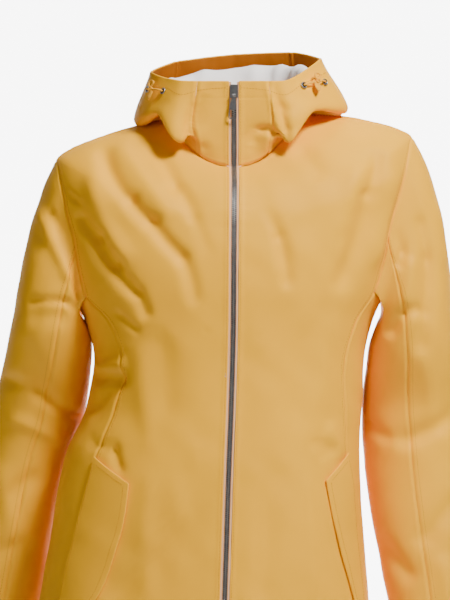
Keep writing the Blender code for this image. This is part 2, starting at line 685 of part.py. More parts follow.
# Both long sides of each flap seen from the front, from its pointed top to its cut-off end.
FLAP_COLUMNS = ("share", "sewn_x", "sewn_z", "free_x", "free_z")
FLAPS = {
    "left": (
        (0.00, -0.1540, -0.3770, -0.1163, -0.4058),
        (0.22, -0.1640, -0.4120, -0.1210, -0.4420),
        (0.50, -0.1760, -0.4600, -0.1310, -0.4800),
        (0.85, -0.1930, -0.5290, -0.1500, -0.5300),
        (1.00, -0.1985, -0.5560, -0.1690, -0.5560),
    ),
    "right": (
        (0.00, 0.1277, -0.3728, 0.1037, -0.4024),
        (0.22, 0.1335, -0.4080, 0.1100, -0.4370),
        (0.50, 0.1370, -0.4560, 0.1190, -0.4780),
        (0.85, 0.1440, -0.5260, 0.1330, -0.5290),
        (1.00, 0.1465, -0.5540, 0.1400, -0.5560),
    ),
}
FLAP_TRACKS = {side: Track(FLAP_COLUMNS, rows) for side, rows in FLAPS.items()}


def body_place(x, z):
    """The body's angle and level behind a point seen from the front, below the armpits."""
    side = "right" if x >= 0.0 else "left"
    angle, level = SIGN[side] * 45.0, 0.3
    for _ in range(4):
        low, high = 0.0, ARMPIT
        for _ in range(24):
            level = (low + high) / 2.0
            if torso_form(angle, level).z < z:
                low = level
            else:
                high = level
        offset = abs(x - TORSO_TRACK.read("zip_x", level))
        angle = SIGN[side] * angle_at_offset(side, level, offset)
    return angle, level


def pocket_flap(side):
    read = FLAP_TRACKS[side].read
    places = []
    for share in spread(0.0, 1.0, FLAP_DOWN):
        sewn = body_place(read("sewn_x", share), read("sewn_z", share))
        free = body_place(read("free_x", share), read("free_z", share))
        row = [(blend(sewn[0], free[0], t), blend(sewn[1], free[1], t))
               for t in spread(0.0, 1.0, FLAP_ACROSS)]
        places.append(row)
    lift = FLAP_STANDOFF + FLAP_THICKNESS
    cloth_piece("pocket_flap_" + side, torso_point, torso_normal, places, SHELL,
                (0.0, 0.0, 0.0, 0.0), lift, FLAP_THICKNESS)


# ---------------------------------------------------------------- zip

TAPE_INSET = 0.0002         # the tapes lie just behind the cloth's face
CHAIN_PROUD = 0.0006        # and the teeth stand a little in front of it
SLIDER_TOP_Z = 0.0430
SLIDER_HEIGHT = 0.0150
SLIDER_WIDTH = 0.0090
SLIDER_PLATE = 0.0011
PULL_LENGTH = 0.0270
PULL_THICKNESS = 0.0011
PULL_SKEW = math.radians(4.0)
PIN_RADIUS = 0.0007
PIN_DEPTH = 0.0050          # from the cloth's face to the pin's axis
PIN_SHARE = 0.2             # the pin's height on the slider
HINGE_GAP = 0.0003
LUG_X = 0.0026              # from the slider's middle to each lug


def front_line(offset, step):
    """A point beside the zip line. Steps 0 to 1 climb the body and 1 to 2 the collar."""
    side = "right" if offset >= 0.0 else "left"
    if step <= 1.0:
        return torso_form(SIGN[side] * angle_at_offset(side, step, abs(offset)), step)
    foot = torso_form(SIGN[side] * angle_at_offset(side, 1.0, abs(offset)), 1.0)
    edge = hood_form(angle_at_offset("right", 1.0, ZIP_OPENING), step - 1.0)
    return Vector((foot.x, edge.y, edge.z))


def front_line_normal(offset, step):
    """Square to the zip line, straight out of the front."""
    ahead = front_line(offset, min(step + 0.01, 2.0)) - front_line(offset, max(step - 0.01, 0.0))
    return Vector((1.0, 0.0, 0.0)).cross(ahead).normalized()


def slider_step():
    """The step along the zip line at the slider's lower end."""
    low, high = 1.0, 2.0
    for _ in range(30):
        middle = (low + high) / 2.0
        if front_line(0.0, middle).z < SLIDER_TOP_Z - SLIDER_HEIGHT:
            low = middle
        else:
            high = middle
    return low


def zip_steps(end):
    collar = [1.0 + share for share in HOOD_SHARES[1:] if 1.0 + share < end - 0.02]
    return PANEL_LEVELS + collar + [end]


def zip_strip(name, offsets, end, look, lift, thickness):
    places = [[(offset, step) for offset in offsets] for step in zip_steps(end)]
    cloth_piece(name, front_line, front_line_normal, places, look, (0.0, 0.0, 0.0, 0.0),
                lift, thickness)


def zip_tapes_and_chain():
    inner = CHAIN_WIDTH / 2.0 + SEAM_GAP
    outer = ZIP_OPENING - SEAM_GAP
    for side, sign in SIGN.items():
        offsets = sorted((sign * inner, sign * outer))
        zip_strip("zip_tape_" + side, offsets, 2.0, TAPE, -TAPE_INSET, TAPE_THICKNESS)
    half = CHAIN_WIDTH / 2.0
    end = slider_step() - 0.006
    zip_strip("zip_chain", [-half, half], end, METAL, CHAIN_PROUD, CHAIN_DEPTH)


def box(name, size, centre, top_narrowing=1.0):
    """A box in the slider's own frame, and its top may be narrower than its foot."""
    bm = bmesh.new()
    bmesh.ops.create_cube(bm, size=1.0)
    for vert in bm.verts:
        narrowing = top_narrowing if vert.co.z > 0.0 else 1.0
        vert.co = Vector((vert.co.x * size[0] * narrowing, vert.co.y * size[1],
                          vert.co.z * size[2])) + Vector(centre)
    mesh = bpy.data.meshes.new(name)
    bm.to_mesh(mesh)
    bm.free()
    return new_object(name, mesh, METAL)


def cylinder_along_x(name, radius, length, centre, sides=16):
    bm = bmesh.new()
    bmesh.ops.create_cone(bm, cap_ends=True, segments=sides, radius1=radius, radius2=radius,
                          depth=length)
    bmesh.ops.rotate(bm, verts=bm.verts, matrix=Matrix.Rotation(math.pi / 2.0, 3, "Y"))
    bmesh.ops.translate(bm, verts=bm.verts, vec=centre)
    mesh = bpy.data.meshes.new(name)
    bm.to_mesh(mesh)
    bm.free()
    return new_object(name, mesh, METAL)


def cut_or_join(obj, others, operation):
    """Boolean the others into the object and keep only the result."""
    for other in others:
        modifier = obj.modifiers.new(operation.lower(), "BOOLEAN")
        modifier.operation = operation
        modifier.object = other
        bpy.context.view_layer.update()
        evaluated = obj.evaluated_get(bpy.context.evaluated_depsgraph_get())
        mesh = bpy.data.meshes.new_from_object(evaluated)
        obj.modifiers.clear()
        obj.data = mesh
    for other in others:
        bpy.data.objects.remove(other, do_unlink=True)
    return obj


def slider_frame():
    """Where the slider's own frame stands: its foot on the zip line, Z up along the zip."""
    step = slider_step()
    foot = front_line(0.0, step)
    upward = (front_line(0.0, step + 0.1) - foot).normalized()
    outward = front_line_normal(0.0, step)
    across = upward.cross(-outward).normalized() * -1.0
    rotation = Matrix((across, -outward, upward)).transposed()
    return foot, rotation


def zip_slider():
    """Two plates either side of the tapes, a core between them, and two lugs with a pin."""
    back_of_tape = TAPE_INSET + TAPE_THICKNESS
    middle_z = SLIDER_HEIGHT / 2.0
    front_y = -(CHAIN_PROUD + HINGE_GAP + SLIDER_PLATE / 2.0)
    back_y = back_of_tape + HINGE_GAP + SLIDER_PLATE / 2.0
    slider = box("zip_slider", (SLIDER_WIDTH, SLIDER_PLATE, SLIDER_HEIGHT),
                 (0.0, front_y, middle_z), 1.0)
    back = box("back_plate", (SLIDER_WIDTH, SLIDER_PLATE, SLIDER_HEIGHT),
               (0.0, back_y, middle_z))
    core_depth = back_y - front_y
    core = box("core", (CHAIN_WIDTH - 0.001, core_depth, SLIDER_HEIGHT * 0.6),
               (0.0, (back_y + front_y) / 2.0, SLIDER_HEIGHT * 0.7 - 0.0003))
    pin_z = SLIDER_HEIGHT * PIN_SHARE
    lug_reach = PIN_DEPTH + 0.0014 + front_y
    pieces = [back, core]
    for sign in (-1.0, 1.0):
        lug_y = front_y - lug_reach / 2.0
        pieces.append(box("lug", (0.0009, lug_reach, 0.0036), (sign * LUG_X, lug_y, pin_z)))
    pin = cylinder_along_x("pin", PIN_RADIUS, 2.0 * LUG_X, (0.0, -PIN_DEPTH, pin_z), 12)
    pieces.append(pin)
    cut_or_join(slider, pieces, "UNION")
    foot, rotation = slider_frame()
    slider.location = foot
    slider.rotation_euler = rotation.to_euler()
    return slider


def zip_pull():
    """A flat tab round the slider's pin, wider to its foot, with a square hole there."""
    eye = cylinder_along_x("zip_pull", PIN_RADIUS + HINGE_GAP + 0.0009, 2.0 * LUG_X - 0.0017,
                           (0.0, 0.0, 0.0), 20)
    curve = bpy.data.curves.new("tab", "CURVE")
    curve.dimensions = "2D"
    curve.fill_mode = "BOTH"
    curve.extrude = PULL_THICKNESS / 2.0
    half_top, half_foot = 0.0019, 0.0047
    outline = ((-half_top, -0.0014), (half_top, -0.0014), (half_foot - 0.0006, -0.0130),
               (half_foot, -PULL_LENGTH + 0.0015), (half_foot - 0.0015, -PULL_LENGTH),
               (-half_foot + 0.0015, -PULL_LENGTH), (-half_foot, -PULL_LENGTH + 0.0015),
               (-half_foot + 0.0006, -0.0130))
    rim = 0.0013
    hole_top = -PULL_LENGTH + 0.0105
    hole = ((-half_foot + rim, hole_top), (half_foot - rim, hole_top),
            (half_foot - rim, -PULL_LENGTH + rim + 0.0004),
            (-half_foot + rim, -PULL_LENGTH + rim + 0.0004))
    for points in (outline, hole):
        spline = curve.splines.new("POLY")
        spline.points.add(len(points) - 1)
        for point, (x, y) in zip(spline.points, points):
            point.co = (x, y, 0.0, 1.0)
        spline.use_cyclic_u = True
    flat = bpy.data.objects.new("tab", curve)
    PARTS.objects.link(flat)
    bpy.context.view_layer.update()
    mesh = bpy.data.meshes.new_from_object(
        flat.evaluated_get(bpy.context.evaluated_depsgraph_get()))
    bpy.data.objects.remove(flat, do_unlink=True)
    upright = Matrix.Rotation(math.pi / 2.0, 4, "X")
    mesh.transform(Matrix.Rotation(PULL_SKEW, 4, "Y") @ upright)
    bm = bmesh.new()
    bm.from_mesh(mesh)
    bmesh.ops.remove_doubles(bm, verts=bm.verts, dist=1e-6)
    bmesh.ops.recalc_face_normals(bm, faces=bm.faces)
    bm.to_mesh(mesh)
    bm.free()
    tab = new_object("tab", mesh, METAL)
    cut_or_join(eye, [tab], "UNION")
    bore = cylinder_along_x("bore", PIN_RADIUS + HINGE_GAP, 0.02, (0.0, 0.0, 0.0), 16)
    cut_or_join(eye, [bore], "DIFFERENCE")
    foot, rotation = slider_frame()
    eye.location = foot + rotation @ Vector((0.0, -PIN_DEPTH, SLIDER_HEIGHT * PIN_SHARE))
    eye.rotation_euler = rotation.to_euler()
    return eye


def zip_box_piece():
    """The square end piece that the zip is started in, at the hem."""
    size = Vector((0.0120, 0.0008, 0.0120))
    foot = front_line(0.0, 0.0)
    lift = CHAIN_PROUD + LAY_GAP + size.y / 2.0
    block = box("zip_box", size, (0.0, 0.0, 0.0))
    outward = front_line_normal(0.0, 0.02)
    upward = (front_line(0.0, 0.04) - foot).normalized()
    across = upward.cross(-outward).normalized() * -1.0
    block.location = foot + outward * lift + upward * (size.z / 2.0 + 0.001)
    block.rotation_euler = Matrix((across, -outward, upward)).transposed().to_euler()
    return block


# ---------------------------------------------------------------- eyelets and drawcords

EYELET_RADIUS = 0.0032      # to the middle of the ring's own thickness
EYELET_WIRE = 0.0008
CORD_RADIUS = 0.0011
CORD_POINTS = 12
KNOT_RADII = (0.0034, 0.0026, 0.0028)
TAIL = (0.0058, 0.0012, 0.0130)

# Hood angle and profile share of each eyelet.
EYELETS = {
    "right_front": (56.5, 0.91),
    "right_back": (71.5, 0.88),
    "left_front": (-57.5, 0.89),
    "left_back": (-75.0, 0.90),
}

# Each cord from its front eyelet over to its back one, standing off the hood.
CORD_COLUMNS = ("along", "angle", "share", "standoff")
CORDS = {
    "right": (
        (0.00, 56.5, 0.910, 0.0017),
        (0.18, 58.5, 0.906, 0.0044),
        (0.45, 63.5, 0.900, 0.0062),
        (0.60, 66.0, 0.896, 0.0062),
        (0.84, 70.0, 0.886, 0.0044),
        (1.00, 71.5, 0.880, 0.0017),
    ),
    "left": (
        (0.00, 57.5, 0.890, 0.0017),
        (0.18, 59.5, 0.892, 0.0044),
        (0.45, 66.0, 0.896, 0.0062),
        (0.60, 69.0, 0.898, 0.0062),
        (0.84, 73.2, 0.899, 0.0044),
        (1.00, 75.0, 0.900, 0.0017),
    ),
}


def hood_frame(angle, share, standoff):
    """A frame standing off the hood: local Z out of the cloth, local Y up it."""
    outward = hood_normal(angle, share)
    place = hood_form(angle, share) + outward * standoff
    across = Vector((0.0, 0.0, 1.0)).cross(outward).normalized()
    upward = outward.cross(across)
    frame = Matrix((across, upward, outward)).transposed().to_4x4()
    frame.translation = place
    return frame


def eyelet(name, angle, share):
    bpy.ops.mesh.primitive_torus_add(
        major_radius=EYELET_RADIUS, minor_radius=EYELET_WIRE, major_segments=16,
        minor_segments=6)
    ring = bpy.context.object
    ring.name = "eyelet_" + name
    for collection in list(ring.users_collection):
        collection.objects.unlink(ring)
    PARTS.objects.link(ring)
    ring.data.materials.append(METAL)
    ring.data.shade_smooth()
    ring.matrix_world = hood_frame(angle, share, EYELET_WIRE + 2.0 * LAY_GAP)


def cord_place(side, along):
    track = Track(CORD_COLUMNS, CORDS[side])
    angle = SIGN[side] * track.read("angle", along)
    return hood_frame(angle, track.read("share", along), track.read("standoff", along))


def drawcord(side):
    """A short cord between two eyelets, knotted half way, with its flat end hanging."""
    curve = bpy.data.curves.new("drawcord", "CURVE")
    curve.dimensions = "3D"
    curve.bevel_depth = CORD_RADIUS
    curve.bevel_resolution = 2
    curve.use_fill_caps = True
    spline = curve.splines.new("POLY")
    spline.points.add(CORD_POINTS - 1)
    for point, along in zip(spline.points, spread(0.0, 1.0, CORD_POINTS - 1)):
        point.co = (*cord_place(side, along).translation, 1.0)
    route = bpy.data.objects.new("route", curve)
    PARTS.objects.link(route)
    bpy.context.view_layer.update()
    mesh = bpy.data.meshes.new_from_object(
        route.evaluated_get(bpy.context.evaluated_depsgraph_get()))
    bpy.data.objects.remove(route, do_unlink=True)
    bm = bmesh.new()
    bm.from_mesh(mesh)
    bmesh.ops.remove_doubles(bm, verts=bm.verts, dist=1e-6)
    bm.to_mesh(mesh)
    bm.free()
    cord = new_object("drawcord_" + side, mesh, SHELL)

    knot_frame = cord_place(side, 0.52)
    bm = bmesh.new()
    bmesh.ops.create_uvsphere(bm, u_segments=12, v_segments=8, radius=1.0)
    for vert in bm.verts:
        vert.co = Vector([c * r for c, r in zip(vert.co, KNOT_RADII)])
    mesh = bpy.data.meshes.new("knot")
    bm.to_mesh(mesh)
    bm.free()
    knot = new_object("knot", mesh, SHELL)
    knot.matrix_world = knot_frame

    tail = box("tail", (TAIL[0], TAIL[2], TAIL[1]), (0.0, -TAIL[2] / 2.0, 0.0008))
    tail.matrix_world = knot_frame @ Matrix.Rotation(math.radians(-12.0 * SIGN[side]), 4, "Z")
    return cut_or_join(cord, [knot, tail], "UNION")


# ---------------------------------------------------------------- build

def clear_scene():
    for obj in list(bpy.data.objects):
        bpy.data.objects.remove(obj, do_unlink=True)


clear_scene()
PARTS = bpy.data.collections.new("hooded_parka")
bpy.context.scene.collection.children.link(PARTS)
SHELL = material("shell_cloth", (0.80, 0.42, 0.06), 0.62)

LINING = material("lining_cloth", (0.85, 0.83, 0.82), 0.70)
TAPE = material("zip_tape", (0.80, 0.50, 0.22), 0.80)
METAL = material("gunmetal", (0.20, 0.20, 0.21), 0.35, 1.0)

for each_side in SIGN:
    front_panel(each_side)
    side_panel(each_side)
    sleeve_pieces(each_side)
    pocket_flap(each_side)
back_panel()
hood_pieces()
hood_lining()
zip_tapes_and_chain()
zip_slider()
zip_pull()
zip_box_piece()
for eyelet_name, eyelet_place in EYELETS.items():
    eyelet(eyelet_name, *eyelet_place)
for each_side in SIGN:
    drawcord(each_side)
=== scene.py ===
"""Looks of the hooded parka: its cloth with folds and seams, zip, eyelets, cords and light.

Metres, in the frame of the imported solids. Each cloth piece is a fine shell on the same surface
as its solid: the body from rings, the sleeves from the armholes and the hood from the neck ring.
The surfaces are worked out for whole grids of points at once, so angles, levels and shares below
are arrays, and a point has its three coordinates last.
"""

import json
import math

import bmesh
import bpy
import numpy as np
from mathutils import Matrix, Vector
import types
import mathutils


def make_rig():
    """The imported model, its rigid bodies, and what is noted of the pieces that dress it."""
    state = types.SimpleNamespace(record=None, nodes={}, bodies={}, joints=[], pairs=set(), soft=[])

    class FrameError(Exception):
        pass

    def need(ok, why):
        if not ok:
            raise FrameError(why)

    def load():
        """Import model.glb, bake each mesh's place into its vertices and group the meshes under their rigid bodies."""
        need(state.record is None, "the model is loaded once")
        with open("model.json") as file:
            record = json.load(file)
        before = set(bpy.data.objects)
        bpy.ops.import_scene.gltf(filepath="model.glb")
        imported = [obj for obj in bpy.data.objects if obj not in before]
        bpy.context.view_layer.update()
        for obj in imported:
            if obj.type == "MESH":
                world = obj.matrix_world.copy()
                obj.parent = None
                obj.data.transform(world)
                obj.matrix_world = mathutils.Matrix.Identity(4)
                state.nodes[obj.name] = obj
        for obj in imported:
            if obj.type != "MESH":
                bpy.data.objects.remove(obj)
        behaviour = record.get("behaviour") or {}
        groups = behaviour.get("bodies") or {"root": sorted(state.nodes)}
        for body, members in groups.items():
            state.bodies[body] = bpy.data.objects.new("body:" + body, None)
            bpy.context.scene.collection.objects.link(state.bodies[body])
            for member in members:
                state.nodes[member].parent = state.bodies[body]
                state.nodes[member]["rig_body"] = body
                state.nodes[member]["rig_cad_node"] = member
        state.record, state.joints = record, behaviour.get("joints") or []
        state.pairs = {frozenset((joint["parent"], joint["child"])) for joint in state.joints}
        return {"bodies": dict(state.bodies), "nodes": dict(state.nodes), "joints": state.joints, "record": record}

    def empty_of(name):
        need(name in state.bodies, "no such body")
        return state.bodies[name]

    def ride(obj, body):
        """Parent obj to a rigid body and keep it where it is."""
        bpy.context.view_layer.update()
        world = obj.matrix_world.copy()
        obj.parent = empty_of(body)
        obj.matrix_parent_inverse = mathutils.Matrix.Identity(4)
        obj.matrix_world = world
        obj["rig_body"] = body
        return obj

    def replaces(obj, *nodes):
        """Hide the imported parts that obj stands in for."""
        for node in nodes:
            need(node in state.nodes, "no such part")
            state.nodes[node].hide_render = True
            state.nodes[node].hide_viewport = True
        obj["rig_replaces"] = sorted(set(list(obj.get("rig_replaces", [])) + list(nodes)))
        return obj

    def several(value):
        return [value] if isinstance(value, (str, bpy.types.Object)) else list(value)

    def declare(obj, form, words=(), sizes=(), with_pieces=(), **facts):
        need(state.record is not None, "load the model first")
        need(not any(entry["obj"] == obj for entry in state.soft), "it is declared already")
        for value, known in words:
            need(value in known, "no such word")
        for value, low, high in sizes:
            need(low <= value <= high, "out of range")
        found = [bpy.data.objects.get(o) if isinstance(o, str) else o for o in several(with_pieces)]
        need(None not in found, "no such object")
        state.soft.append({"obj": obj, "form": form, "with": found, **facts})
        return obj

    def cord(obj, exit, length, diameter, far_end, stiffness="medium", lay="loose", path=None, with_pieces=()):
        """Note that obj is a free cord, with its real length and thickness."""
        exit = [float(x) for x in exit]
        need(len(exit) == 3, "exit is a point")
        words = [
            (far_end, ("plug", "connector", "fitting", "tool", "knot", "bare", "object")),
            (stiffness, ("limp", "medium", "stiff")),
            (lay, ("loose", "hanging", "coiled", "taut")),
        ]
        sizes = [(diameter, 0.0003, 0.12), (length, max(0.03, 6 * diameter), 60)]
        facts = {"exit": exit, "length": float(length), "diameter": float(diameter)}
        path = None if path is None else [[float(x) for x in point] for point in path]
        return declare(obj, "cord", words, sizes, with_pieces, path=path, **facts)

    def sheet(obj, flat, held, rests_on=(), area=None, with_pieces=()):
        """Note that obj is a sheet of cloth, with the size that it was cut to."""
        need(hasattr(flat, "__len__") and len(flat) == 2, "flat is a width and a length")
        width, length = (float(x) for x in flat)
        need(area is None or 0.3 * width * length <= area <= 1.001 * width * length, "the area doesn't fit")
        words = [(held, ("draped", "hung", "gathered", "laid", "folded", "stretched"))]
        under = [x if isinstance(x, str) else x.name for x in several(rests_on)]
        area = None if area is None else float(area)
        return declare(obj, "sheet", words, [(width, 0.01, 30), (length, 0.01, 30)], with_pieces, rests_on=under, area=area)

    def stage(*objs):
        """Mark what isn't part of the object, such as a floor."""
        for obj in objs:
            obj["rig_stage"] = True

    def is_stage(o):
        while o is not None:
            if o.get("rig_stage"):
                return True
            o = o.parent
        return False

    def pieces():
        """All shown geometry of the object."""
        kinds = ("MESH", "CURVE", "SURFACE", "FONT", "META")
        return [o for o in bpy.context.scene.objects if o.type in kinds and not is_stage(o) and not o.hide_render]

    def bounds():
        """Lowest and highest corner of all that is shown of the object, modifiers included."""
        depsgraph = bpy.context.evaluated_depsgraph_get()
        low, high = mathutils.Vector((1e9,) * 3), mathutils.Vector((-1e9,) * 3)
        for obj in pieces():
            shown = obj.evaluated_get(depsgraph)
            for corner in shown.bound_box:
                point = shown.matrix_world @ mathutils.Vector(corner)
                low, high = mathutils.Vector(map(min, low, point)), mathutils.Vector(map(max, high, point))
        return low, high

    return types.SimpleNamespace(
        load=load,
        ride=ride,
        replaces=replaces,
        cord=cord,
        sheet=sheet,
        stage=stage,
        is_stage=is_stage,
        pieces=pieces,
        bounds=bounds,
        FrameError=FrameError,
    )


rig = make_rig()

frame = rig.load()
start_bounds = [list(corner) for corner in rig.bounds()]
BODY = "garment"

# ---------------------------------------------------------------- driving dimensions

CLOTH = 0.0012              # wall of the shell cloth
GRID = 0.0042               # usual distance between a shell's points
STITCH_LENGTH = 0.0024
STITCH_GAP = 0.0010
THREAD_RADIUS = 0.00028

ZIP_OPENING = 0.0060        # from the front's middle line to the cloth edge beside the zip
CHAIN_WIDTH = 0.0057        # the row of closed teeth

ROUNDNESS = 2.3             # superellipse power of the body rings, 2 would be an ellipse
SLEEVE_ROUNDNESS = 2.15     # and of the sleeve rings

ARMPIT = 0.56               # levels on the body, 0 at the hem and 1 at the neck seam
SHOULDER_TIP = 0.80
SHOULDER_SEAM = 84.0        # degrees round from the front's middle, a little forward of the side
TIP_CROWDING = 1.5          # above 1, the armhole's rows stand closer near the shoulder tip
UNDERARM_DIP = 0.018        # how far the armhole's lowest point hangs below its corners, in level

CAP_PULL = 0.9              # how straight the sleeve cap leaves the armhole
CAP_LIFT = {"left": 0.064, "right": 0.100}    # how broadly it stands out over the shoulder
UNDERARM_LIFT = 0.055       # and how broadly its underside stands off the body
HOOD_TILTS = {"fold": 0.10, "bag": 0.06, "rim": 0.078}    # it sits a little higher towards +X
HOOD_SHIFTS = {"fold": 0.0, "bag": 0.010, "rim": 0.003}    # and hangs a little further out there
HOOD_STOPS = (0.0, 0.30, 0.62, 1.0)     # shares of the hood's profile at its four stops
FOLD_PULL = 0.11            # how broadly the cloth turns over at its top fold
BAG_PULL = 0.115             # and under at the bag's lowest line

# ---------------------------------------------------------------- camera

camera = bpy.data.objects.new("camera", bpy.data.cameras.new("camera"))
bpy.context.scene.collection.objects.link(camera)
bpy.context.scene.camera = camera
camera.data.sensor_width = 36.0
camera.data.lens = 368.4
camera.location = (-0.0091, -7.0, -0.1995)
camera.rotation_euler = (math.radians(90.0), 0.0, 0.0)
camera.data.clip_end = 40.0
# ---------------------------------------------------------------- tables

# Body rings, hem to neck. Front, side and back points of each ring; x of the zip line.
TORSO_COLUMNS = (
    "level", "front_y", "front_z", "left_x", "left_z", "right_x", "right_z", "back_y", "back_z",
    "zip_x")
TORSO = (
    (0.00, -0.156, -0.655, -0.2400, -0.660, 0.1650, -0.660, 0.150, -0.665, -0.0125),
    (0.12, -0.153, -0.5415, -0.2210, -0.5415, 0.1550, -0.5415, 0.146, -0.545, -0.0097),
    (0.20, -0.150, -0.459, -0.2060, -0.459, 0.1480, -0.459, 0.138, -0.462, -0.0070),
    (0.26, -0.146, -0.400, -0.1970, -0.400, 0.1450, -0.400, 0.131, -0.402, -0.0052),
    (0.30, -0.143, -0.368, -0.1880, -0.368, 0.1440, -0.368, 0.126, -0.368, -0.0040),
    (0.35, -0.139, -0.3226, -0.1670, -0.3226, 0.1470, -0.3226, 0.120, -0.322, -0.0023),
    (0.42, -0.136, -0.265, -0.1585, -0.265, 0.1495, -0.265, 0.116, -0.262, -0.0006),
    (0.49, -0.136, -0.225, -0.1680, -0.225, 0.1580, -0.225, 0.120, -0.215, 0.0003),
    (0.56, -0.137, -0.190, -0.1800, -0.198, 0.1730, -0.190, 0.126, -0.172, 0.0006),
    (0.64, -0.135, -0.152, -0.1930, -0.155, 0.1890, -0.142, 0.130, -0.124, 0.0008),
    (0.72, -0.130, -0.119, -0.2020, -0.105, 0.1990, -0.090, 0.129, -0.075, 0.0011),
    (0.76, -0.127, -0.105, -0.2060, -0.066, 0.2080, -0.040, 0.126, -0.042, 0.0012),
    (0.80, -0.122, -0.092, -0.2010, -0.040, 0.2040, -0.014, 0.120, -0.021, 0.0013),
    (0.84, -0.116, -0.080, -0.1860, -0.028, 0.1880, -0.005, 0.111, -0.011, 0.0014),
    (0.88, -0.109, -0.070, -0.1640, -0.018, 0.1650, 0.003, 0.100, 0.000, 0.0014),
    (0.94, -0.097, -0.058, -0.1210, -0.004, 0.1210, 0.010, 0.083, 0.012, 0.0013),
    (1.00, -0.085, -0.049, -0.0760, 0.008, 0.0770, 0.014, 0.066, 0.020, 0.0010),
)

# Seam angles of the pieces below the armhole, hem to armpit.
SIDE_COLUMNS = ("level", "left_front", "right_front", "back")
SIDE = (
    (0.00, 62.0, 73.0, 118.0),
    (0.12, 60.5, 70.0, 118.0),
    (0.22, 54.0, 64.5, 117.0),
    (0.31, 51.0, 60.5, 116.0),
    (0.40, 50.0, 55.5, 115.0),
    (0.48, 53.0, 59.0, 114.0),
    (0.56, 66.0, 66.0, 113.0),
)

# Armhole edge angles, from the armpit corner (0) to the shoulder tip (1).
ARMHOLE_COLUMNS = ("share", "front", "back")
ARMHOLE = (
    (0.00, 66.0, 113.0),
    (0.35, 64.0, 114.0),
    (0.65, 68.0, 110.0),
    (0.85, 75.0, 99.0),
    (1.00, 84.0, 84.0),
)

# Sleeve rings below the cap: height, outer and inner side seen from the front, depth.
SLEEVE_COLUMNS = ("share", "z", "outer_x", "inner_x", "middle_y", "half_depth")
SLEEVE = {
    "left": (
        (0.00, -0.270, -0.2620, -0.1620, 0.028, 0.074),
        (0.16, -0.325, -0.2760, -0.1690, 0.056, 0.070),
        (0.32, -0.380, -0.2880, -0.1890, 0.068, 0.066),
        (0.50, -0.445, -0.3010, -0.2030, 0.072, 0.062),
        (0.72, -0.525, -0.3170, -0.2160, 0.080, 0.057),
        (1.00, -0.630, -0.3370, -0.2370, 0.086, 0.053),
    ),
    "right": (
        (0.00, -0.270, 0.2590, 0.1530, 0.022, 0.074),
        (0.16, -0.325, 0.2690, 0.1480, 0.038, 0.071),
        (0.32, -0.380, 0.2760, 0.1500, 0.034, 0.067),
        (0.50, -0.445, 0.2820, 0.1585, 0.024, 0.063),
        (0.72, -0.525, 0.2880, 0.1735, 0.012, 0.058),
        (1.00, -0.630, 0.2930, 0.1970, -0.002, 0.053),
    ),
}

# Hood profiles round the neck: top of the near wall, lowest line of the bag, and rim.
HOOD_COLUMNS = (
    "angle", "fold_x", "fold_y", "fold_z", "bag_x", "bag_y", "bag_z", "rim_x", "rim_y", "rim_z")
HOOD = (
    (0.0, 0.000, -0.087, -0.018, 0.000, -0.089, 0.014, 0.000, -0.091, 0.0460),
    (4.6, 0.0088, -0.087, -0.018, 0.0090, -0.089, 0.013, 0.0092, -0.091, 0.0460),
    (24.0, 0.037, -0.087, -0.022, 0.039, -0.091, 0.002, 0.036, -0.092, 0.0460),
    (40.0, 0.055, -0.074, -0.012, 0.064, -0.094, -0.020, 0.056, -0.089, 0.0465),
    (58.0, 0.073, -0.058, 0.022, 0.088, -0.068, 0.012, 0.074, -0.074, 0.0520),
    (84.0, 0.084, -0.006, 0.050, 0.116, -0.014, 0.006, 0.098, -0.036, 0.0665),
    (108.0, 0.079, 0.040, 0.057, 0.120, 0.058, 0.010, 0.098, 0.030, 0.0690),
    (128.0, 0.064, 0.070, 0.060, 0.110, 0.122, -0.008, 0.091, 0.071, 0.0735),
    (148.0, 0.044, 0.088, 0.064, 0.080, 0.156, -0.068, 0.067, 0.107, 0.0815),
    (180.0, 0.000, 0.094, 0.066, 0.000, 0.172, -0.105, 0.000, 0.122, 0.0850),
)

FLAP_COLUMNS = ("share", "sewn_x", "sewn_z", "free_x", "free_z")
FLAPS = {
    "left": (
        (0.00, -0.1540, -0.3770, -0.1163, -0.4058),
        (0.22, -0.1640, -0.4120, -0.1210, -0.4420),
        (0.50, -0.1760, -0.4600, -0.1310, -0.4800),
        (0.85, -0.1930, -0.5290, -0.1500, -0.5300),
        (1.00, -0.1985, -0.5560, -0.1690, -0.5560),
    ),
    "right": (
        (0.00, 0.1277, -0.3728, 0.1037, -0.4024),
        (0.22, 0.1335, -0.4080, 0.1100, -0.4370),
        (0.50, 0.1370, -0.4560, 0.1190, -0.4780),
        (0.85, 0.1440, -0.5260, 0.1330, -0.5290),
        (1.00, 0.1465, -0.5540, 0.1400, -0.5560),
    ),
}

EYELETS = {
    "right_front": (56.5, 0.91),
    "right_back": (71.5, 0.88),
    "left_front": (-57.5, 0.89),
    "left_back": (-75.0, 0.90),
}

CORD_COLUMNS = ("along", "angle", "share", "standoff")
CORDS = {
    "right": (
        (0.00, 56.5, 0.910, 0.0017),
        (0.18, 58.5, 0.906, 0.0044),
        (0.45, 63.5, 0.900, 0.0062),
        (0.60, 66.0, 0.896, 0.0062),
        (0.84, 70.0, 0.886, 0.0044),
        (1.00, 71.5, 0.880, 0.0017),
    ),
    "left": (
        (0.00, 57.5, 0.890, 0.0017),
        (0.18, 59.5, 0.892, 0.0044),
        (0.45, 66.0, 0.896, 0.0062),
        (0.60, 69.0, 0.898, 0.0062),
        (0.84, 73.2, 0.899, 0.0044),
        (1.00, 75.0, 0.900, 0.0017),
    ),
}
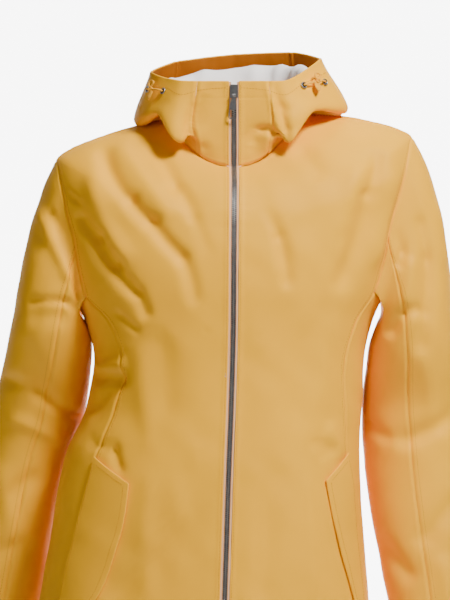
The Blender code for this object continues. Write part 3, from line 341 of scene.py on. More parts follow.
# Folds and creases of each surface, in millimetres: x and z of both ends as seen from the
# front, sideways bow, width, and depth, which is negative where the fold stands out.
FOLDS = {
    "front": (
        (-147, -30, -117, -86, -4, 9.9, 7.1), (-117, -86, -91, -113, -2, 9.9, 7.8),
        (-91, -113, -56, -152, -2, 9, 6.5), (-56, -152, -41, -200, 2, 9, 4.8),
        (-174, -103, -154, -130, -2, 8.1, 7.1), (-154, -130, -133, -162, -2, 9, 7.8),
        (-133, -162, -108, -192, -2, 8.1, 6.5), (-108, -192, -97, -218, 1, 7.2, 4.4),
        (-91, -30, -65, -70, 3, 8.1, 4.4), (-65, -70, -42, -107, 2, 9, 5.1),
        (-42, -107, -23, -145, 0, 8.1, 4.1), (-160, -63, -120, -152, -5, 10.8, -4.4),
        (-124, -29, -74, -102, 0, 9.9, -3.1), (-190, -81, -170, -95, 0, 5.4, 2.7),
        (-131, -214, -108, -234, 0, 4.5, 2.4), (-155, -288, -125, -286, 0, 5.4, 5.8),
        (-125, -288, -160, -325, 0, 8.1, 5.8), (-153, -275, -122, -270, -1, 5.4, -3.1),
        (-162, -358, -133, -366, -1, 4.5, 3.1), (-133, -366, -125, -391, -2, 5.4, 3.7),
        (-58, -453, -133, -529, 3, 14.4, 4.4), (-32, -373, -83, -473, 6, 16.2, -2.7),
        (-42, -354, -13, -356, 0, 2.7, 1.5), (-38, -373, -13, -373, 0, 2.7, 1.5),
        (-33, -234, -13, -237, 0, 3.2, 1.4), (-31, -308, -11, -304, 0, 3.2, 1.4),
        (-34, -496, -11, -503, 0, 3.6, 1.7), (-83, -234, -74, -325, 2, 14.4, 2.5),
        (-106, -257, -92, -359, -2, 11.7, -2.4), (-49, -393, -33, -530, 3, 16.2, 3.1),
        (-95, -402, -95, -530, -3, 12.6, -2.7), (35, -99, 52, -129, 1, 7.2, 4.1),
        (52, -129, 62, -182, 1, 8.1, 4.4), (164, -36, 153, -83, 2, 9.9, 6.1),
        (153, -83, 122, -182, 4, 11.7, 6.8), (181, -63, 163, -156, 3, 10.8, -4.1),
        (139, -51, 120, -120, 2, 11.7, -2.4), (87, -359, 115, -368, 1, 4, 3.1),
        (115, -368, 97, -375, 0, 4.5, 2), (108, -343, 119, -374, 0, 8.1, -4.1),
        (6, -354, 18, -354, 0, 2.7, 1.4), (6, -373, 19, -374, 0, 2.7, 1.4),
        (9, -243, 29, -239, 0, 3.2, 1.4), (9, -308, 26, -312, 0, 3.2, 1.2),
        (9, -496, 29, -491, 0, 3.6, 1.5), (81, -234, 72, -336, -3, 14.4, 2.7),
        (111, -222, 102, -314, -2, 11.7, -2), (49, -393, 33, -532, -4, 16.2, 2.9),
        (82, -410, 90, -530, 2, 11.7, -2.5), (19, -63, 33, -91, 0, 9, 2),
        (76, -29, 97, -60, 0, 10.8, 2.4), (146, -402, 163, -400, 0, 3.6, 1.7),
    ),
    "back": (
        (-150, -60, -60, -200, -12, 12.6, 7.8), (150, -60, 55, -215, 12, 12.6, 7.8),
        (-95, -40, -38, -156, -6, 9.9, 4.4), (102, -46, 49, -156, 6, 9.9, 4.1),
        (-120, -290, 90, -275, 10, 11.7, 7.1), (-140, -350, 111, -335, -12, 12.6, 5.8),
        (-120, -323, -3, -309, 4, 8.1, -3.1), (19, -304, 122, -311, -4, 8.1, 2.7),
        (-90, -419, -111, -620, 8, 16.2, 7.1), (70, -410, 86, -620, -6, 16.2, 6.5),
        (-13, -393, 3, -587, 4, 18, -3.1), (-49, -405, -63, -541, -4, 14.4, 3.1),
        (33, -405, 42, -541, 4, 14.4, 3.1), (-163, -251, -122, -259, 0, 6.3, 3.7),
        (162, -251, 124, -259, 0, 6.3, 3.7), (-32, -51, -8, -142, 4, 11.7, 2.7),
        (33, -54, 15, -138, -3, 11.7, 2.4), (-163, -142, -131, -234, 4, 10.8, -3.4),
        (159, -148, 131, -234, -4, 10.8, -3.4),
    ),
    "sleeve_front": (
        (-209, -99, -193, -115, 0, 7.2, 7.1), (-193, -115, -178, -142, 1, 7.2, 7.8),
        (-178, -142, -174, -195, 1, 7.2, 7.1), (-222, -99, -204, -131, 0, 7.2, -3.7),
        (-204, -131, -186, -171, 0, 7.2, -4.4), (-186, -171, -179, -205, 0, 6.3, -3.4),
        (-213, -63, -225, -142, 2, 9, 2.7), (-230, -201, -188, -201, 1, 5.4, 4.8),
        (-227, -218, -190, -220, 2, 10.8, 4.1), (-188, -201, -177, -207, 0, 5.4, 4.1),
        (-236, -251, -215, -314, 3, 10.8, 3.1), (-262, -290, -200, -315, 2, 9, 4.4),
        (-209, -318, -170, -334, 0, 6.3, 5.1), (-252, -336, -197, -359, 2, 8.1, -3.1),
        (-280, -440, -225, -400, 2, 10.8, 4.4), (-288, -496, -231, -479, 2, 11.7, 3.4),
        (-266, -393, -254, -473, 2, 10.8, -2.7), (212, -108, 222, -153, 1, 8.1, 5.4),
        (222, -153, 219, -212, 1, 9, 6.5), (219, -212, 212, -257, 1, 8.1, 4.8),
        (234, -91, 242, -154, 2, 8.1, -3.4), (211, -209, 190, -215, 0, 6.3, 5.1),
        (190, -215, 176, -238, 0, 7.2, 5.1), (179, -119, 193, -144, 1, 6.3, 4.8),
        (193, -144, 186, -161, 0, 6.3, 4.1), (202, -156, 195, -200, 0, 7.2, -3.4),
        (250, -330, 190, -360, 3, 10.8, 5.1), (150, -337, 178, -359, 0, 8.1, 3.4),
        (213, -257, 227, -336, 3, 10.8, -2.7), (168, -474, 201, -515, 0, 9.9, 4.4),
        (250, -427, 213, -473, 2, 10.8, 3.7), (236, -496, 250, -564, 1, 10.8, -2.7),
    ),
    "sleeve_back": (
        (-215, -120, -200, -230, 6, 9.9, 6.8), (-285, -340, -215, -360, 6, 9.9, 7.5),
        (-290, -400, -225, -390, -4, 9.9, 5.8), (-243, -142, -229, -234, 3, 9, -3.4),
        (-275, -370, -220, -375, 2, 7.2, -3.1), (-190, -200, -177, -245, 0, 7.2, 4.4),
        (-282, -450, -231, -473, 3, 10.8, 4.1), (-293, -541, -243, -524, 2, 10.8, 3.4),
        (218, -120, 205, -230, -6, 9.9, 6.8), (255, -350, 180, -335, 6, 9.9, 7.5),
        (262, -400, 185, -410, 4, 9.9, 5.8), (240, -142, 234, -234, -3, 9, -3.4),
        (250, -376, 188, -370, 2, 7.2, -3.1), (190, -200, 174, -245, 0, 7.2, 4.1),
        (257, -462, 196, -479, 3, 10.8, 4.1), (270, -541, 219, -530, 2, 10.8, 3.4),
    ),
}


# ---------------------------------------------------------------- folds

def fold_offset(surface, point):
    """How far the folds of one surface move these points outwards, as seen from the front."""
    x, z = point[..., 0], point[..., 2]
    offset = np.zeros(x.shape)
    for row in FOLDS[surface]:
        x0, z0, x1, z1, bow, width, depth = (value / 1000.0 for value in row)
        along_x, along_z = x1 - x0, z1 - z0
        length = math.hypot(along_x, along_z)
        share = ((x - x0) * along_x + (z - z0) * along_z) / length ** 2
        held = np.clip(share, 0.0, 1.0)
        side = bow * 4.0 * held * (1.0 - held)
        line_x = x0 + along_x * held - along_z / length * side
        line_z = z0 + along_z * held + along_x / length * side
        distance = np.hypot(x - line_x, z - line_z)
        ends = ease((share + 0.25) / 0.4) * ease((1.25 - share) / 0.4)
        offset -= depth * np.exp(-(distance / width) ** 2) * ends
    return offset


# ---------------------------------------------------------------- reading the tables

class Track:
    """A table whose columns are read at any values of its first column, without overshoot."""

    def __init__(self, columns, rows):
        data = np.array(rows, dtype=float)
        self.keys = data[:, 0]
        self.curves = {name: data[:, i] for i, name in enumerate(columns)}
        self.slopes = {name: self.level_slopes(curve) for name, curve in self.curves.items()}

    def level_slopes(self, curve):
        """Slopes at the rows, flat wherever the column turns back."""
        rates = np.diff(curve) / np.diff(self.keys)
        slopes = np.empty_like(curve)
        slopes[0], slopes[-1] = rates[0], rates[-1]
        before, after = rates[:-1], rates[1:]
        turning = before * after <= 0.0
        total = np.where(turning, 1.0, before + after)
        slopes[1:-1] = np.where(turning, 0.0, 2.0 * before * after / total)
        return slopes

    def read(self, name, key):
        """The named column at these keys, as a smooth cubic between its rows."""
        key = np.clip(np.asarray(key, dtype=float), self.keys[0], self.keys[-1])
        i = np.clip(np.searchsorted(self.keys, key, side="right") - 1, 0, len(self.keys) - 2)
        step = self.keys[i + 1] - self.keys[i]
        t = (key - self.keys[i]) / step
        curve, slopes = self.curves[name], self.slopes[name]
        rise = t * t * (3.0 - 2.0 * t)
        start_pull = t * (1.0 - t) ** 2
        end_pull = t * t * (t - 1.0)
        return (curve[i] + (curve[i + 1] - curve[i]) * rise
                + step * (slopes[i] * start_pull + slopes[i + 1] * end_pull))


TORSO_TRACK = Track(TORSO_COLUMNS, TORSO)
SIDE_TRACK = Track(SIDE_COLUMNS, SIDE)
ARMHOLE_TRACK = Track(ARMHOLE_COLUMNS, ARMHOLE)
HOOD_TRACK = Track(HOOD_COLUMNS, HOOD)
FLAP_TRACKS = {side: Track(FLAP_COLUMNS, rows) for side, rows in FLAPS.items()}
SLEEVE_TRACKS = {side: Track(SLEEVE_COLUMNS, rows) for side, rows in SLEEVE.items()}
SIGN = {"left": -1.0, "right": 1.0}


def blend(a, b, share):
    return a + (b - a) * share


def ease(t):
    """0 to 1 with level ends."""
    t = np.clip(t, 0.0, 1.0)
    return t * t * (3.0 - 2.0 * t)


def rounded(value, power):
    """The superellipse's version of sines or cosines."""
    return np.sign(value) * np.abs(value) ** (2.0 / power)


def unit(vectors):
    length = np.linalg.norm(vectors, axis=-1, keepdims=True)
    return vectors / np.maximum(length, 1e-12)


def xyz(x, y, z):
    return np.stack(np.broadcast_arrays(x, y, z), axis=-1)


def half_turned(angle):
    """The same angles between -180 and 180 degrees."""
    return (np.asarray(angle, dtype=float) + 180.0) % 360.0 - 180.0


# ---------------------------------------------------------------- surfaces

def by_side(angle, left, right):
    return np.where(angle >= 0.0, right, left)


def torso_form(angle, level):
    """The body without folds. The angle runs from the front's middle, negative to -X."""
    read = TORSO_TRACK.read
    angle, level = np.broadcast_arrays(half_turned(angle), np.asarray(level, dtype=float))
    turn = np.radians(angle)
    zip_x = read("zip_x", level)
    reach = by_side(angle, read("left_x", level), read("right_x", level)) - zip_x
    forward, sideways = np.cos(turn), np.abs(np.sin(turn))
    x = zip_x + reach * rounded(sideways, ROUNDNESS)
    end_y = np.where(forward >= 0.0, read("front_y", level), read("back_y", level))
    end_z = np.where(forward >= 0.0, read("front_z", level), read("back_z", level))
    y = end_y * np.abs(rounded(forward, ROUNDNESS))
    side_z = by_side(angle, read("left_z", level), read("right_z", level))
    return xyz(x, y, side_z + (end_z - side_z) * forward ** 2)


def form_normal(form, u, v, du, dv):
    """Outward normals from central differences. Forms run round with u and along with v."""
    u, v = np.broadcast_arrays(np.asarray(u, dtype=float), np.asarray(v, dtype=float))
    across = form(u + du, v) - form(u - du, v)
    along = form(u, np.minimum(v + dv, 1.0)) - form(u, np.maximum(v - dv, 0.0))
    return unit(np.cross(across, along))


def torso_normal(angle, level):
    return form_normal(torso_form, angle, level, 0.5, 0.004)


def torso_folds(angle, level, point):
    """Height of the folds on the body, which fade at its front edge, sides and neck."""
    angle = half_turned(angle)
    offset = np.where(np.abs(angle) < 90.0, fold_offset("front", point),
                      fold_offset("back", point))
    turn = np.abs(np.abs(angle) - 90.0)
    return (offset * ease((np.abs(angle) - 3.0) / 12.0) * ease(turn / 14.0)
            * ease((1.0 - level) / 0.06) * off_armhole(angle, level))


def off_armhole(angle, level):
    """From 0 on an armhole's edge to 1 away from it, so that both its pieces meet in one line."""
    turn = np.abs(angle)
    front = blend(front_edge_angle("left", level), front_edge_angle("right", level), angle >= 0.0)
    edge = np.where(turn < 90.0, front, back_edge_angle(level))
    beside = ease((level - ARMPIT + 0.03) / 0.03) * ease((SHOULDER_TIP + 0.03 - level) / 0.03)
    return 1.0 - beside * (1.0 - ease(np.abs(turn - edge) / 7.0))


def torso_point(angle, level):
    """The body's outer points with their folds."""
    point = torso_form(angle, level)
    return point + torso_normal(angle, level) * torso_folds(angle, level, point)[..., None]


def armhole_level(share):
    """Body level of the armhole edge, from the armpit corner (0) to the shoulder tip (1)."""
    return blend(ARMPIT, SHOULDER_TIP, 1.0 - (1.0 - share) ** TIP_CROWDING)


def armhole_share(level):
    held = np.clip((level - ARMPIT) / (SHOULDER_TIP - ARMPIT), 0.0, 1.0)
    return 1.0 - (1.0 - held) ** (1.0 / TIP_CROWDING)


def front_edge_angle(side, level):
    """Where a front piece ends: side-front seam, armhole edge, then shoulder seam."""
    level = np.asarray(level, dtype=float)
    armhole = ARMHOLE_TRACK.read("front", armhole_share(level))
    seam = SIDE_TRACK.read(side + "_front", level)
    return np.where(level >= SHOULDER_TIP, SHOULDER_SEAM, np.where(level > ARMPIT, armhole, seam))


def back_edge_angle(level):
    level = np.asarray(level, dtype=float)
    armhole = ARMHOLE_TRACK.read("back", armhole_share(level))
    seam = SIDE_TRACK.read("back", level)
    return np.where(level >= SHOULDER_TIP, SHOULDER_SEAM, np.where(level > ARMPIT, armhole, seam))


def underarm_level(share):
    """Top of the side piece, which dips between the armhole's two lower corners."""
    return ARMPIT - UNDERARM_DIP * 4.0 * share * (1.0 - share)


def angle_at_offset(side, level, offset):
    """The angles whose points stand this far sideways from the zip line."""
    reach = np.abs(TORSO_TRACK.read(side + "_x", level) - TORSO_TRACK.read("zip_x", level))
    return np.degrees(np.arcsin((offset / reach) ** (ROUNDNESS / 2.0)))


FRONT_CORNER, CAP_TOP, BACK_CORNER = -50.0, 90.0, 230.0
CAP_SHARE = 0.36            # part of the sleeve's length that belongs to the cap


def wrapped(angle):
    """The same sleeve angles between the front corner and one turn on."""
    return (np.asarray(angle, dtype=float) - FRONT_CORNER) % 360.0 + FRONT_CORNER


def armhole_point(side, angle):
    """Points of the armhole loop, on the folded body."""
    sign = SIGN[side]
    front = np.clip((angle - FRONT_CORNER) / (CAP_TOP - FRONT_CORNER), 0.0, 1.0)
    behind = np.clip((BACK_CORNER - angle) / (BACK_CORNER - CAP_TOP), 0.0, 1.0)
    under = np.clip((angle - BACK_CORNER) / (FRONT_CORNER + 360.0 - BACK_CORNER), 0.0, 1.0)
    under_turn = blend(back_edge_angle(ARMPIT), front_edge_angle(side, ARMPIT), under)
    turn = np.where(
        angle <= CAP_TOP, ARMHOLE_TRACK.read("front", front),
        np.where(angle <= BACK_CORNER, ARMHOLE_TRACK.read("back", behind), under_turn))
    level = np.where(
        angle <= CAP_TOP, armhole_level(front),
        np.where(angle <= BACK_CORNER, armhole_level(behind), underarm_level(under)))
    return torso_point(sign * turn, level)


def sleeve_ring_point(side, angle, share):
    read = SLEEVE_TRACKS[side].read
    turn = np.radians(angle)
    outer, inner = read("outer_x", share), read("inner_x", share)
    sideways, forward = (rounded(f(turn), SLEEVE_ROUNDNESS) for f in (np.sin, np.cos))
    x = (outer + inner) / 2.0 + (outer - inner) / 2.0 * sideways
    y = read("middle_y", share) - read("half_depth", share) * forward
    return xyz(x, y, read("z", share))


def hermite(ends, slopes, step, t):
    """The cubic between two points with given slopes over a step, at t from 0 to 1."""
    t = np.asarray(t)[..., None]
    return (ends[0] * (2 * t ** 3 - 3 * t ** 2 + 1) + slopes[0] * step * (t ** 3 - 2 * t ** 2 + t)
            + ends[1] * (3 * t ** 2 - 2 * t ** 3) + slopes[1] * step * (t ** 3 - t ** 2))


def sleeve_form(side, angle, share):
    """The sleeve without folds, from the armhole (0) to the cuff (1)."""
    angle, share = np.broadcast_arrays(wrapped(angle), np.asarray(share, dtype=float))
    lower = sleeve_ring_point(side, angle, np.clip((share - CAP_SHARE) / (1 - CAP_SHARE), 0, 1))
    start = armhole_point(side, angle)
    end = sleeve_ring_point(side, angle, np.zeros_like(share))
    height = np.sin(np.radians(angle))
    lift = np.maximum(height, 0.0) * CAP_LIFT[side] + np.maximum(-height, 0.0) * UNDERARM_LIFT
    start_pull = (end - start) * CAP_PULL + xyz(lift * SIGN[side], 0.0, 0.0)
    step = 0.02
    below = sleeve_ring_point(side, angle, np.full_like(share, step)) - end
    end_pull = below / step * CAP_SHARE / (1.0 - CAP_SHARE)
    cap = hermite((start, end), (start_pull, end_pull), 1.0,
                  np.clip(share / CAP_SHARE, 0.0, 1.0))
    return np.where((share >= CAP_SHARE)[..., None], lower, cap)


def sleeve_normal(side, angle, share):
    return form_normal(lambda u, v: sleeve_form(side, u, v), angle, share, 1.0, 0.01) * -SIGN[side]


def sleeve_folds(angle, share, point):
    forward = np.cos(np.radians(wrapped(angle)))
    offset = np.where(forward > 0.0, fold_offset("sleeve_front", point),
                      fold_offset("sleeve_back", point))
    return offset * ease(np.abs(forward) / 0.5) * ease(share / 0.10)


def hood_form(angle, share):
    """The hood from the neck seam (0) to the rim (1), through its top fold and hanging bag."""
    angle, share = np.broadcast_arrays(half_turned(angle), np.asarray(share, dtype=float))
    sign = np.where(angle < 0.0, -1.0, 1.0)
    turn = np.abs(angle)
    read = HOOD_TRACK.read
    stops = [torso_form(angle, 1.0)]
    aside = ease((turn - 40.0) / 40.0)
    zip_x = TORSO_TRACK.read("zip_x", 1.0) * ease(1.0 - turn / 24.0)
    for stop in ("fold", "bag", "rim"):
        shift = HOOD_SHIFTS[stop] * aside * np.abs(np.sin(np.radians(turn)))
        x = zip_x + sign * read(stop + "_x", turn) + shift
        z = read(stop + "_z", turn) + x * HOOD_TILTS[stop] * aside
        stops.append(xyz(x, read(stop + "_y", turn), z))
    return through(stops, turn, share)


def through(stops, turn, share):
    """A smooth line through four stops. From the side on it rolls outwards at both bends."""
    share = np.clip(share, 0.0, 1.0)
    steps = np.diff(HOOD_STOPS)
    rates = [(stops[k + 1] - stops[k]) / steps[k] for k in range(3)]
    outward = unit(xyz(stops[2][..., 0], stops[2][..., 1], 0.0))
    rolled = ease((turn - 24.0) / 40.0)[..., None]
    slopes = [
        rates[0],
        blend((rates[0] + rates[1]) / 2.0, outward * FOLD_PULL, rolled),
        blend((rates[1] + rates[2]) / 2.0, outward * BAG_PULL, rolled),
        rates[2]]
    result = np.zeros(stops[0].shape)
    for i in range(3):
        t = np.clip((share - HOOD_STOPS[i]) / steps[i], 0.0, 1.0)
        piece = hermite(stops[i:i + 2], slopes[i:i + 2], steps[i], t)
        inside = (share >= HOOD_STOPS[i]) & (share <= HOOD_STOPS[i + 1])
        result = np.where(inside[..., None], piece, result)
    return result


def hood_normal(angle, share):
    return form_normal(hood_form, angle, share, 1.0, 0.01)

# ---------------------------------------------------------------- cloth shells

EDGE_OFFSETS = np.array((0.0, 0.0006, 0.0014, 0.0026, 0.0042, 0.0060, 0.0085))
STITCH_COLUMN = 5           # the edge offset that topstitching follows
HEM_OFFSETS = np.array((0.0, 0.0007, 0.0016, 0.0030, 0.0060, 0.0100, 0.0140, 0.0180, 0.0215))
HEM_STITCH = 7
NARROW = 0.0001             # sewn pieces stop this far short of their seam's line
DENSE = 121


def edge_spaced(length, start_offsets, end_offsets, step=None):
    """Positions along a length from 0 to 1, at fixed offsets by both ends and even between."""
    room = length - start_offsets[-1] - end_offsets[-1]
    count = max(int(round(room / (step or GRID))), 1)
    between = start_offsets[-1] + room * np.arange(1, count) / count
    return np.concatenate((start_offsets, between, (length - end_offsets)[::-1])) / length


def grid_steps(length, count, start_offsets, end_offsets):
    """Arc lengths of one row's columns: fixed near both ends, even between."""
    squeeze = min(1.0, 0.42 * length / (start_offsets[-1] + end_offsets[-1]))
    first, last = start_offsets * squeeze, end_offsets * squeeze
    room = length - first[-1] - last[-1]
    between = first[-1] + room * np.arange(1, count) / count
    return np.concatenate((first, between, (length - last)[::-1]))


def lay_grid(place, form, rows, offsets):
    """Surface values at each point of a grid whose columns stand evenly along every row."""
    shares = np.linspace(0.0, 1.0, DENSE)
    u, v = place(shares[None, :], rows[:, None])
    points = form(u, v)
    steps = np.linalg.norm(np.diff(points, axis=1), axis=2)
    lengths = np.concatenate((np.zeros((len(rows), 1)), np.cumsum(steps, axis=1)), axis=1)
    longest = lengths[:, -1].max()
    count = max(int(round((longest - offsets[0][-1] - offsets[1][-1]) / GRID)), 2)
    at = np.array([
        np.interp(grid_steps(line[-1], count, *offsets), line, shares) for line in lengths])
    return place(at, rows[:, None])


def edge_distances(points):
    """How far each grid point is from the first and last column, and first and last row."""
    across = np.linalg.norm(np.diff(points, axis=1), axis=2)
    along = np.linalg.norm(np.diff(points, axis=0), axis=2)
    zero_column = np.zeros((points.shape[0], 1))
    zero_row = np.zeros((1, points.shape[1]))
    from_start = np.concatenate((zero_column, np.cumsum(across, axis=1)), axis=1)
    from_first = np.concatenate((zero_row, np.cumsum(along, axis=0)), axis=0)
    return {
        "start": from_start, "end": from_start[:, -1:] - from_start,
        "first": from_first, "last": from_first[-1:, :] - from_first}


# What happens at each kind of edge: groove depth and width, stitch line, pucker height.
EDGE_LOOKS = {
    "sewn": (0.0010, 0.0018, 0.0060, 0.00028),
    "plain": (0.0007, 0.0014, None, 0.00012),
    "zip": (0.0000, 0.0010, 0.0014, 0.00016),
    "hem": (0.0000, 0.0010, 0.0180, 0.00030),
    "open": (0.0000, 0.0010, None, 0.00010),
}


def edge_relief(kind, away, travel, seed):
    """Height near one edge: the seam's groove, its stitch line and its small puckers."""
    groove, width, stitch, pucker = EDGE_LOOKS[kind]
    height = -groove * np.exp(-(away / width) ** 2)
    height += 0.35 * groove * np.exp(-((away - 2.6 * width) / (1.5 * width)) ** 2)
    if kind == "zip":
        height += 0.0008 * ease((0.0060 - away) / 0.0040)
    if stitch is not None:
        height -= 0.00030 * np.exp(-((away - stitch) / 0.0009) ** 2)
    wave = np.sin(travel / 0.0021 + seed + 1.7 * np.sin(travel / 0.0190 + 2.0 * seed))
    swell = 0.55 + 0.45 * np.sin(travel / 0.0310 + 3.1 * seed)
    reach = 0.009 if kind != "hem" else 0.016
    height += pucker * wave * swell * np.exp(-away / reach)
    return height


def slackness(point, seed):
    """The cloth's slight unevenness: broad shallow waves that cross each other."""
    x, z = point[..., 0] + 0.3 * point[..., 1], point[..., 2]
    return (0.00040 * np.sin(x / 0.0110 + 1.9 * np.sin(z / 0.031 + seed) + seed)
            * np.sin(z / 0.0230 + 1.3 * np.sin(x / 0.027 + 2.0 * seed))
            + 0.00028 * np.sin((x + 0.6 * z) / 0.0085 + 1.4 * np.sin(z / 0.019 + seed)))


def closed_wall(name, outer, inner, edges, look):
    """A closed mesh from two equal grids, rounded over at its free edges."""
    rows, columns = outer.shape[:2]
    index = np.arange(rows * columns).reshape(rows, columns)
    ring = np.concatenate((
        index[0, :-1], index[:-1, -1], index[-1, :0:-1], index[:0:-1, 0]))
    outer_flat, inner_flat = outer.reshape(-1, 3), inner.reshape(-1, 3)
    outward = np.zeros((rows, columns, 3))
    for edge, rim, inside in (("first", (0, slice(None)), (1, slice(None))),
                              ("last", (-1, slice(None)), (-2, slice(None))),
                              ("start", (slice(None), 0), (slice(None), 1)),
                              ("end", (slice(None), -1), (slice(None), -2))):
        if edges[edge] in ("hem", "zip", "open"):
            outward[rim] += unit(outer[rim] - outer[inside])
    outward = unit(outward.reshape(-1, 3)[ring])
    top, under = outer_flat[ring], inner_flat[ring]
    middle, half = (top + under) / 2.0, (top - under) / 2.0
    reach = np.linalg.norm(half, axis=1, keepdims=True)
    bends = [middle + math.cos(t) * half + math.sin(t) * reach * outward
             for t in (math.pi * k / 4.0 for k in (1, 2, 3))]
    free = np.linalg.norm(outward, axis=1) > 0.5
    loops = [ring]
    start = 2 * rows * columns
    points = [outer_flat, inner_flat]
    for bend in bends:
        straight = middle + half * (1.0 - 2.0 * (len(loops) / 4.0))
        points.append(np.where(free[:, None], bend, straight))
        loops.append(start + np.arange(len(ring)))
        start += len(ring)
    loops.append(ring + rows * columns)
    faces = [np.stack((index[:-1, :-1], index[:-1, 1:], index[1:, 1:], index[1:, :-1]),
                      axis=-1).reshape(-1, 4)]
    faces.append(faces[0][:, ::-1] + rows * columns)
    for near, far in zip(loops[:-1], loops[1:]):
        faces.append(np.stack((np.roll(near, -1), near, far, np.roll(far, -1)), axis=-1))
    return mesh_object(name, np.concatenate(points), np.concatenate(faces), look)


def mesh_object(name, points, faces, looks, slots=None, smooth=True):
    """A mesh whose faces point outwards. Each row of faces has equally many corners."""
    mesh = bpy.data.meshes.new(name)
    mesh.from_pydata(np.asarray(points).tolist(), [], [tuple(face) for face in faces])
    bm = bmesh.new()
    bm.from_mesh(mesh)
    if bm.calc_volume(signed=True) < 0.0:
        bmesh.ops.reverse_faces(bm, faces=bm.faces)
    bm.to_mesh(mesh)
    bm.free()
    for look in looks if isinstance(looks, (list, tuple)) else [looks]:
        mesh.materials.append(look)
    if slots is not None:
        mesh.polygons.foreach_set("material_index", slots)
    if smooth:
        mesh.shade_smooth()
        mesh.set_sharp_from_angle(angle=math.radians(62.0))
    obj = bpy.data.objects.new(name, mesh)
    bpy.context.scene.collection.objects.link(obj)
    return obj


def shell(name, place, form, normal, rows, folds, edges, look, lift=0.0, thickness=CLOTH,
          seed=0.0, row_offsets=None, doubled=()):
    """A cloth piece on a surface, with folds, seams and the lines that stitching follows."""
    offsets = (EDGE_OFFSETS, EDGE_OFFSETS)
    u, v = lay_grid(place, form, rows, offsets)
    base = form(u, v)
    outwards = normal(u, v)
    away = edge_distances(base)
    height = folds(u, v, base) + slackness(base, seed)
    travel = {"start": away["first"], "end": away["first"],
              "first": away["start"], "last": away["start"]}
    for edge, kind in edges.items():
        height = height + edge_relief(kind, away[edge], travel[edge], seed + len(edge))
    outer = base + outwards * (height + lift)[..., None]
    outer = narrowed(outer, edges)
    wall_depth = np.full(height.shape, thickness)
    for edge in doubled:
        wall_depth += thickness * 0.8 * ease((0.0200 - away[edge]) / 0.0015)
    inner = outer - outwards * wall_depth[..., None]
    obj = closed_wall(name, outer, inner, edges, look)
    return obj, outer, outwards


def narrowed(points, edges):
    """The grid with each sewn edge moved in a little from its seam's line."""
    points = points.copy()
    for edge, rim, inside in (("first", (0, slice(None)), (1, slice(None))),
                              ("last", (-1, slice(None)), (-2, slice(None))),
                              ("start", (slice(None), 0), (slice(None), 1)),
                              ("end", (slice(None), -1), (slice(None), -2))):
        if edges[edge] in ("sewn", "plain"):
            points[rim] += unit(points[inside] - points[rim]) * NARROW
    return points


# ---------------------------------------------------------------- stitching

# Height over the cloth and width of a stitch at its four sections, in thread radii.
DASH_PROFILE = ((-0.7, 0.45), (0.45, 1.0), (0.45, 1.0), (-0.7, 0.45))


def dashes(name, lines, look, length=STITCH_LENGTH, gap=STITCH_GAP, radius=THREAD_RADIUS):
    """Topstitching: thread lengths half sunk in the cloth along lines of points and normals."""
    corners, sections = 6, (0.0, 0.22, 0.78, 1.0)
    points, faces = [], []
    for line, outwards in lines:
        steps = np.linalg.norm(np.diff(line, axis=0), axis=1)
        run = np.concatenate(([0.0], np.cumsum(steps)))
        starts = np.arange(gap, run[-1] - length, length + gap)
        for start in starts:
            at = start + np.array(sections) * length
            middle = np.stack([np.interp(at, run, line[:, k]) for k in range(3)], axis=-1)
            up = unit(np.stack([np.interp(at, run, outwards[:, k]) for k in range(3)], axis=-1))
            ahead = unit(middle[-1] - middle[0])
            side = unit(np.cross(up, ahead))
            base = len(points) * len(sections) * corners
            rings = []
            for k, (sink, width) in enumerate(DASH_PROFILE):
                turn = np.arange(corners) / corners * 2.0 * math.pi
                centre = middle[k] + up[k] * radius * sink
                rings.append(centre + radius * width * (
                    np.cos(turn)[:, None] * side[k] + np.sin(turn)[:, None] * up[k]))
            points.append(np.concatenate(rings))
            for k in range(len(sections) - 1):
                for c in range(corners):
                    d = (c + 1) % corners
                    faces.append((base + k * corners + c, base + k * corners + d,
                                  base + (k + 1) * corners + d, base + (k + 1) * corners + c))
            for ring in (0, len(sections) - 1):
                first = base + ring * corners
                order = (0, 1, 2, 3), (0, 3, 4, 5)
                for quad in order:
                    picked = [first + c for c in quad]
                    faces.append(picked[::-1] if ring == 0 else picked)
    return mesh_object(name, np.concatenate(points), faces, look)

# ---------------------------------------------------------------- body panels

def levels_spaced(first, last, start_offsets, end_offsets, length):
    """Rows from one level to another of a column of this length."""
    return first + (last - first) * edge_spaced(length, start_offsets, end_offsets)


PLAIN_END = np.array((0.0,))
BODY_LENGTH = 0.355         # from the hem to the armpit, along the cloth
NECK_LENGTH = 0.105         # from the shoulder tip to the neck seam
LOWER_LEVELS = levels_spaced(0.0, ARMPIT, HEM_OFFSETS, PLAIN_END, BODY_LENGTH)
ARM_LEVELS = armhole_level(np.linspace(0.0, 1.0, 44))
UPPER_LEVELS = levels_spaced(SHOULDER_TIP, 1.0, PLAIN_END, EDGE_OFFSETS, NECK_LENGTH)
PANEL_LEVELS = np.concatenate((LOWER_LEVELS, ARM_LEVELS[1:], UPPER_LEVELS[1:]))
SEAM_TAPE_DEPTH, SEAM_TAPE_RADIUS = 0.0016, 0.0012
stitch_lines = []


def front_panel(side):
    sign = SIGN[side]

    def place(s, level):
        start = angle_at_offset(side, level, ZIP_OPENING)
        angle = blend(start, front_edge_angle(side, level), s)
        return sign * angle, np.broadcast_to(level, angle.shape)

    edges = {"start": "zip", "end": "sewn", "first": "hem", "last": "sewn"}
    obj, outer, outwards = shell(
        "front_" + side, place, torso_form, torso_normal, PANEL_LEVELS, torso_folds, edges,
        SHELL, seed=1.0 + sign, doubled=("first",))
    stitch_lines.extend([
        (outer[:, 2], outwards[:, 2]),
        (outer[:, -1 - STITCH_COLUMN], outwards[:, -1 - STITCH_COLUMN]),
        (outer[HEM_STITCH], outwards[HEM_STITCH])])
    return obj


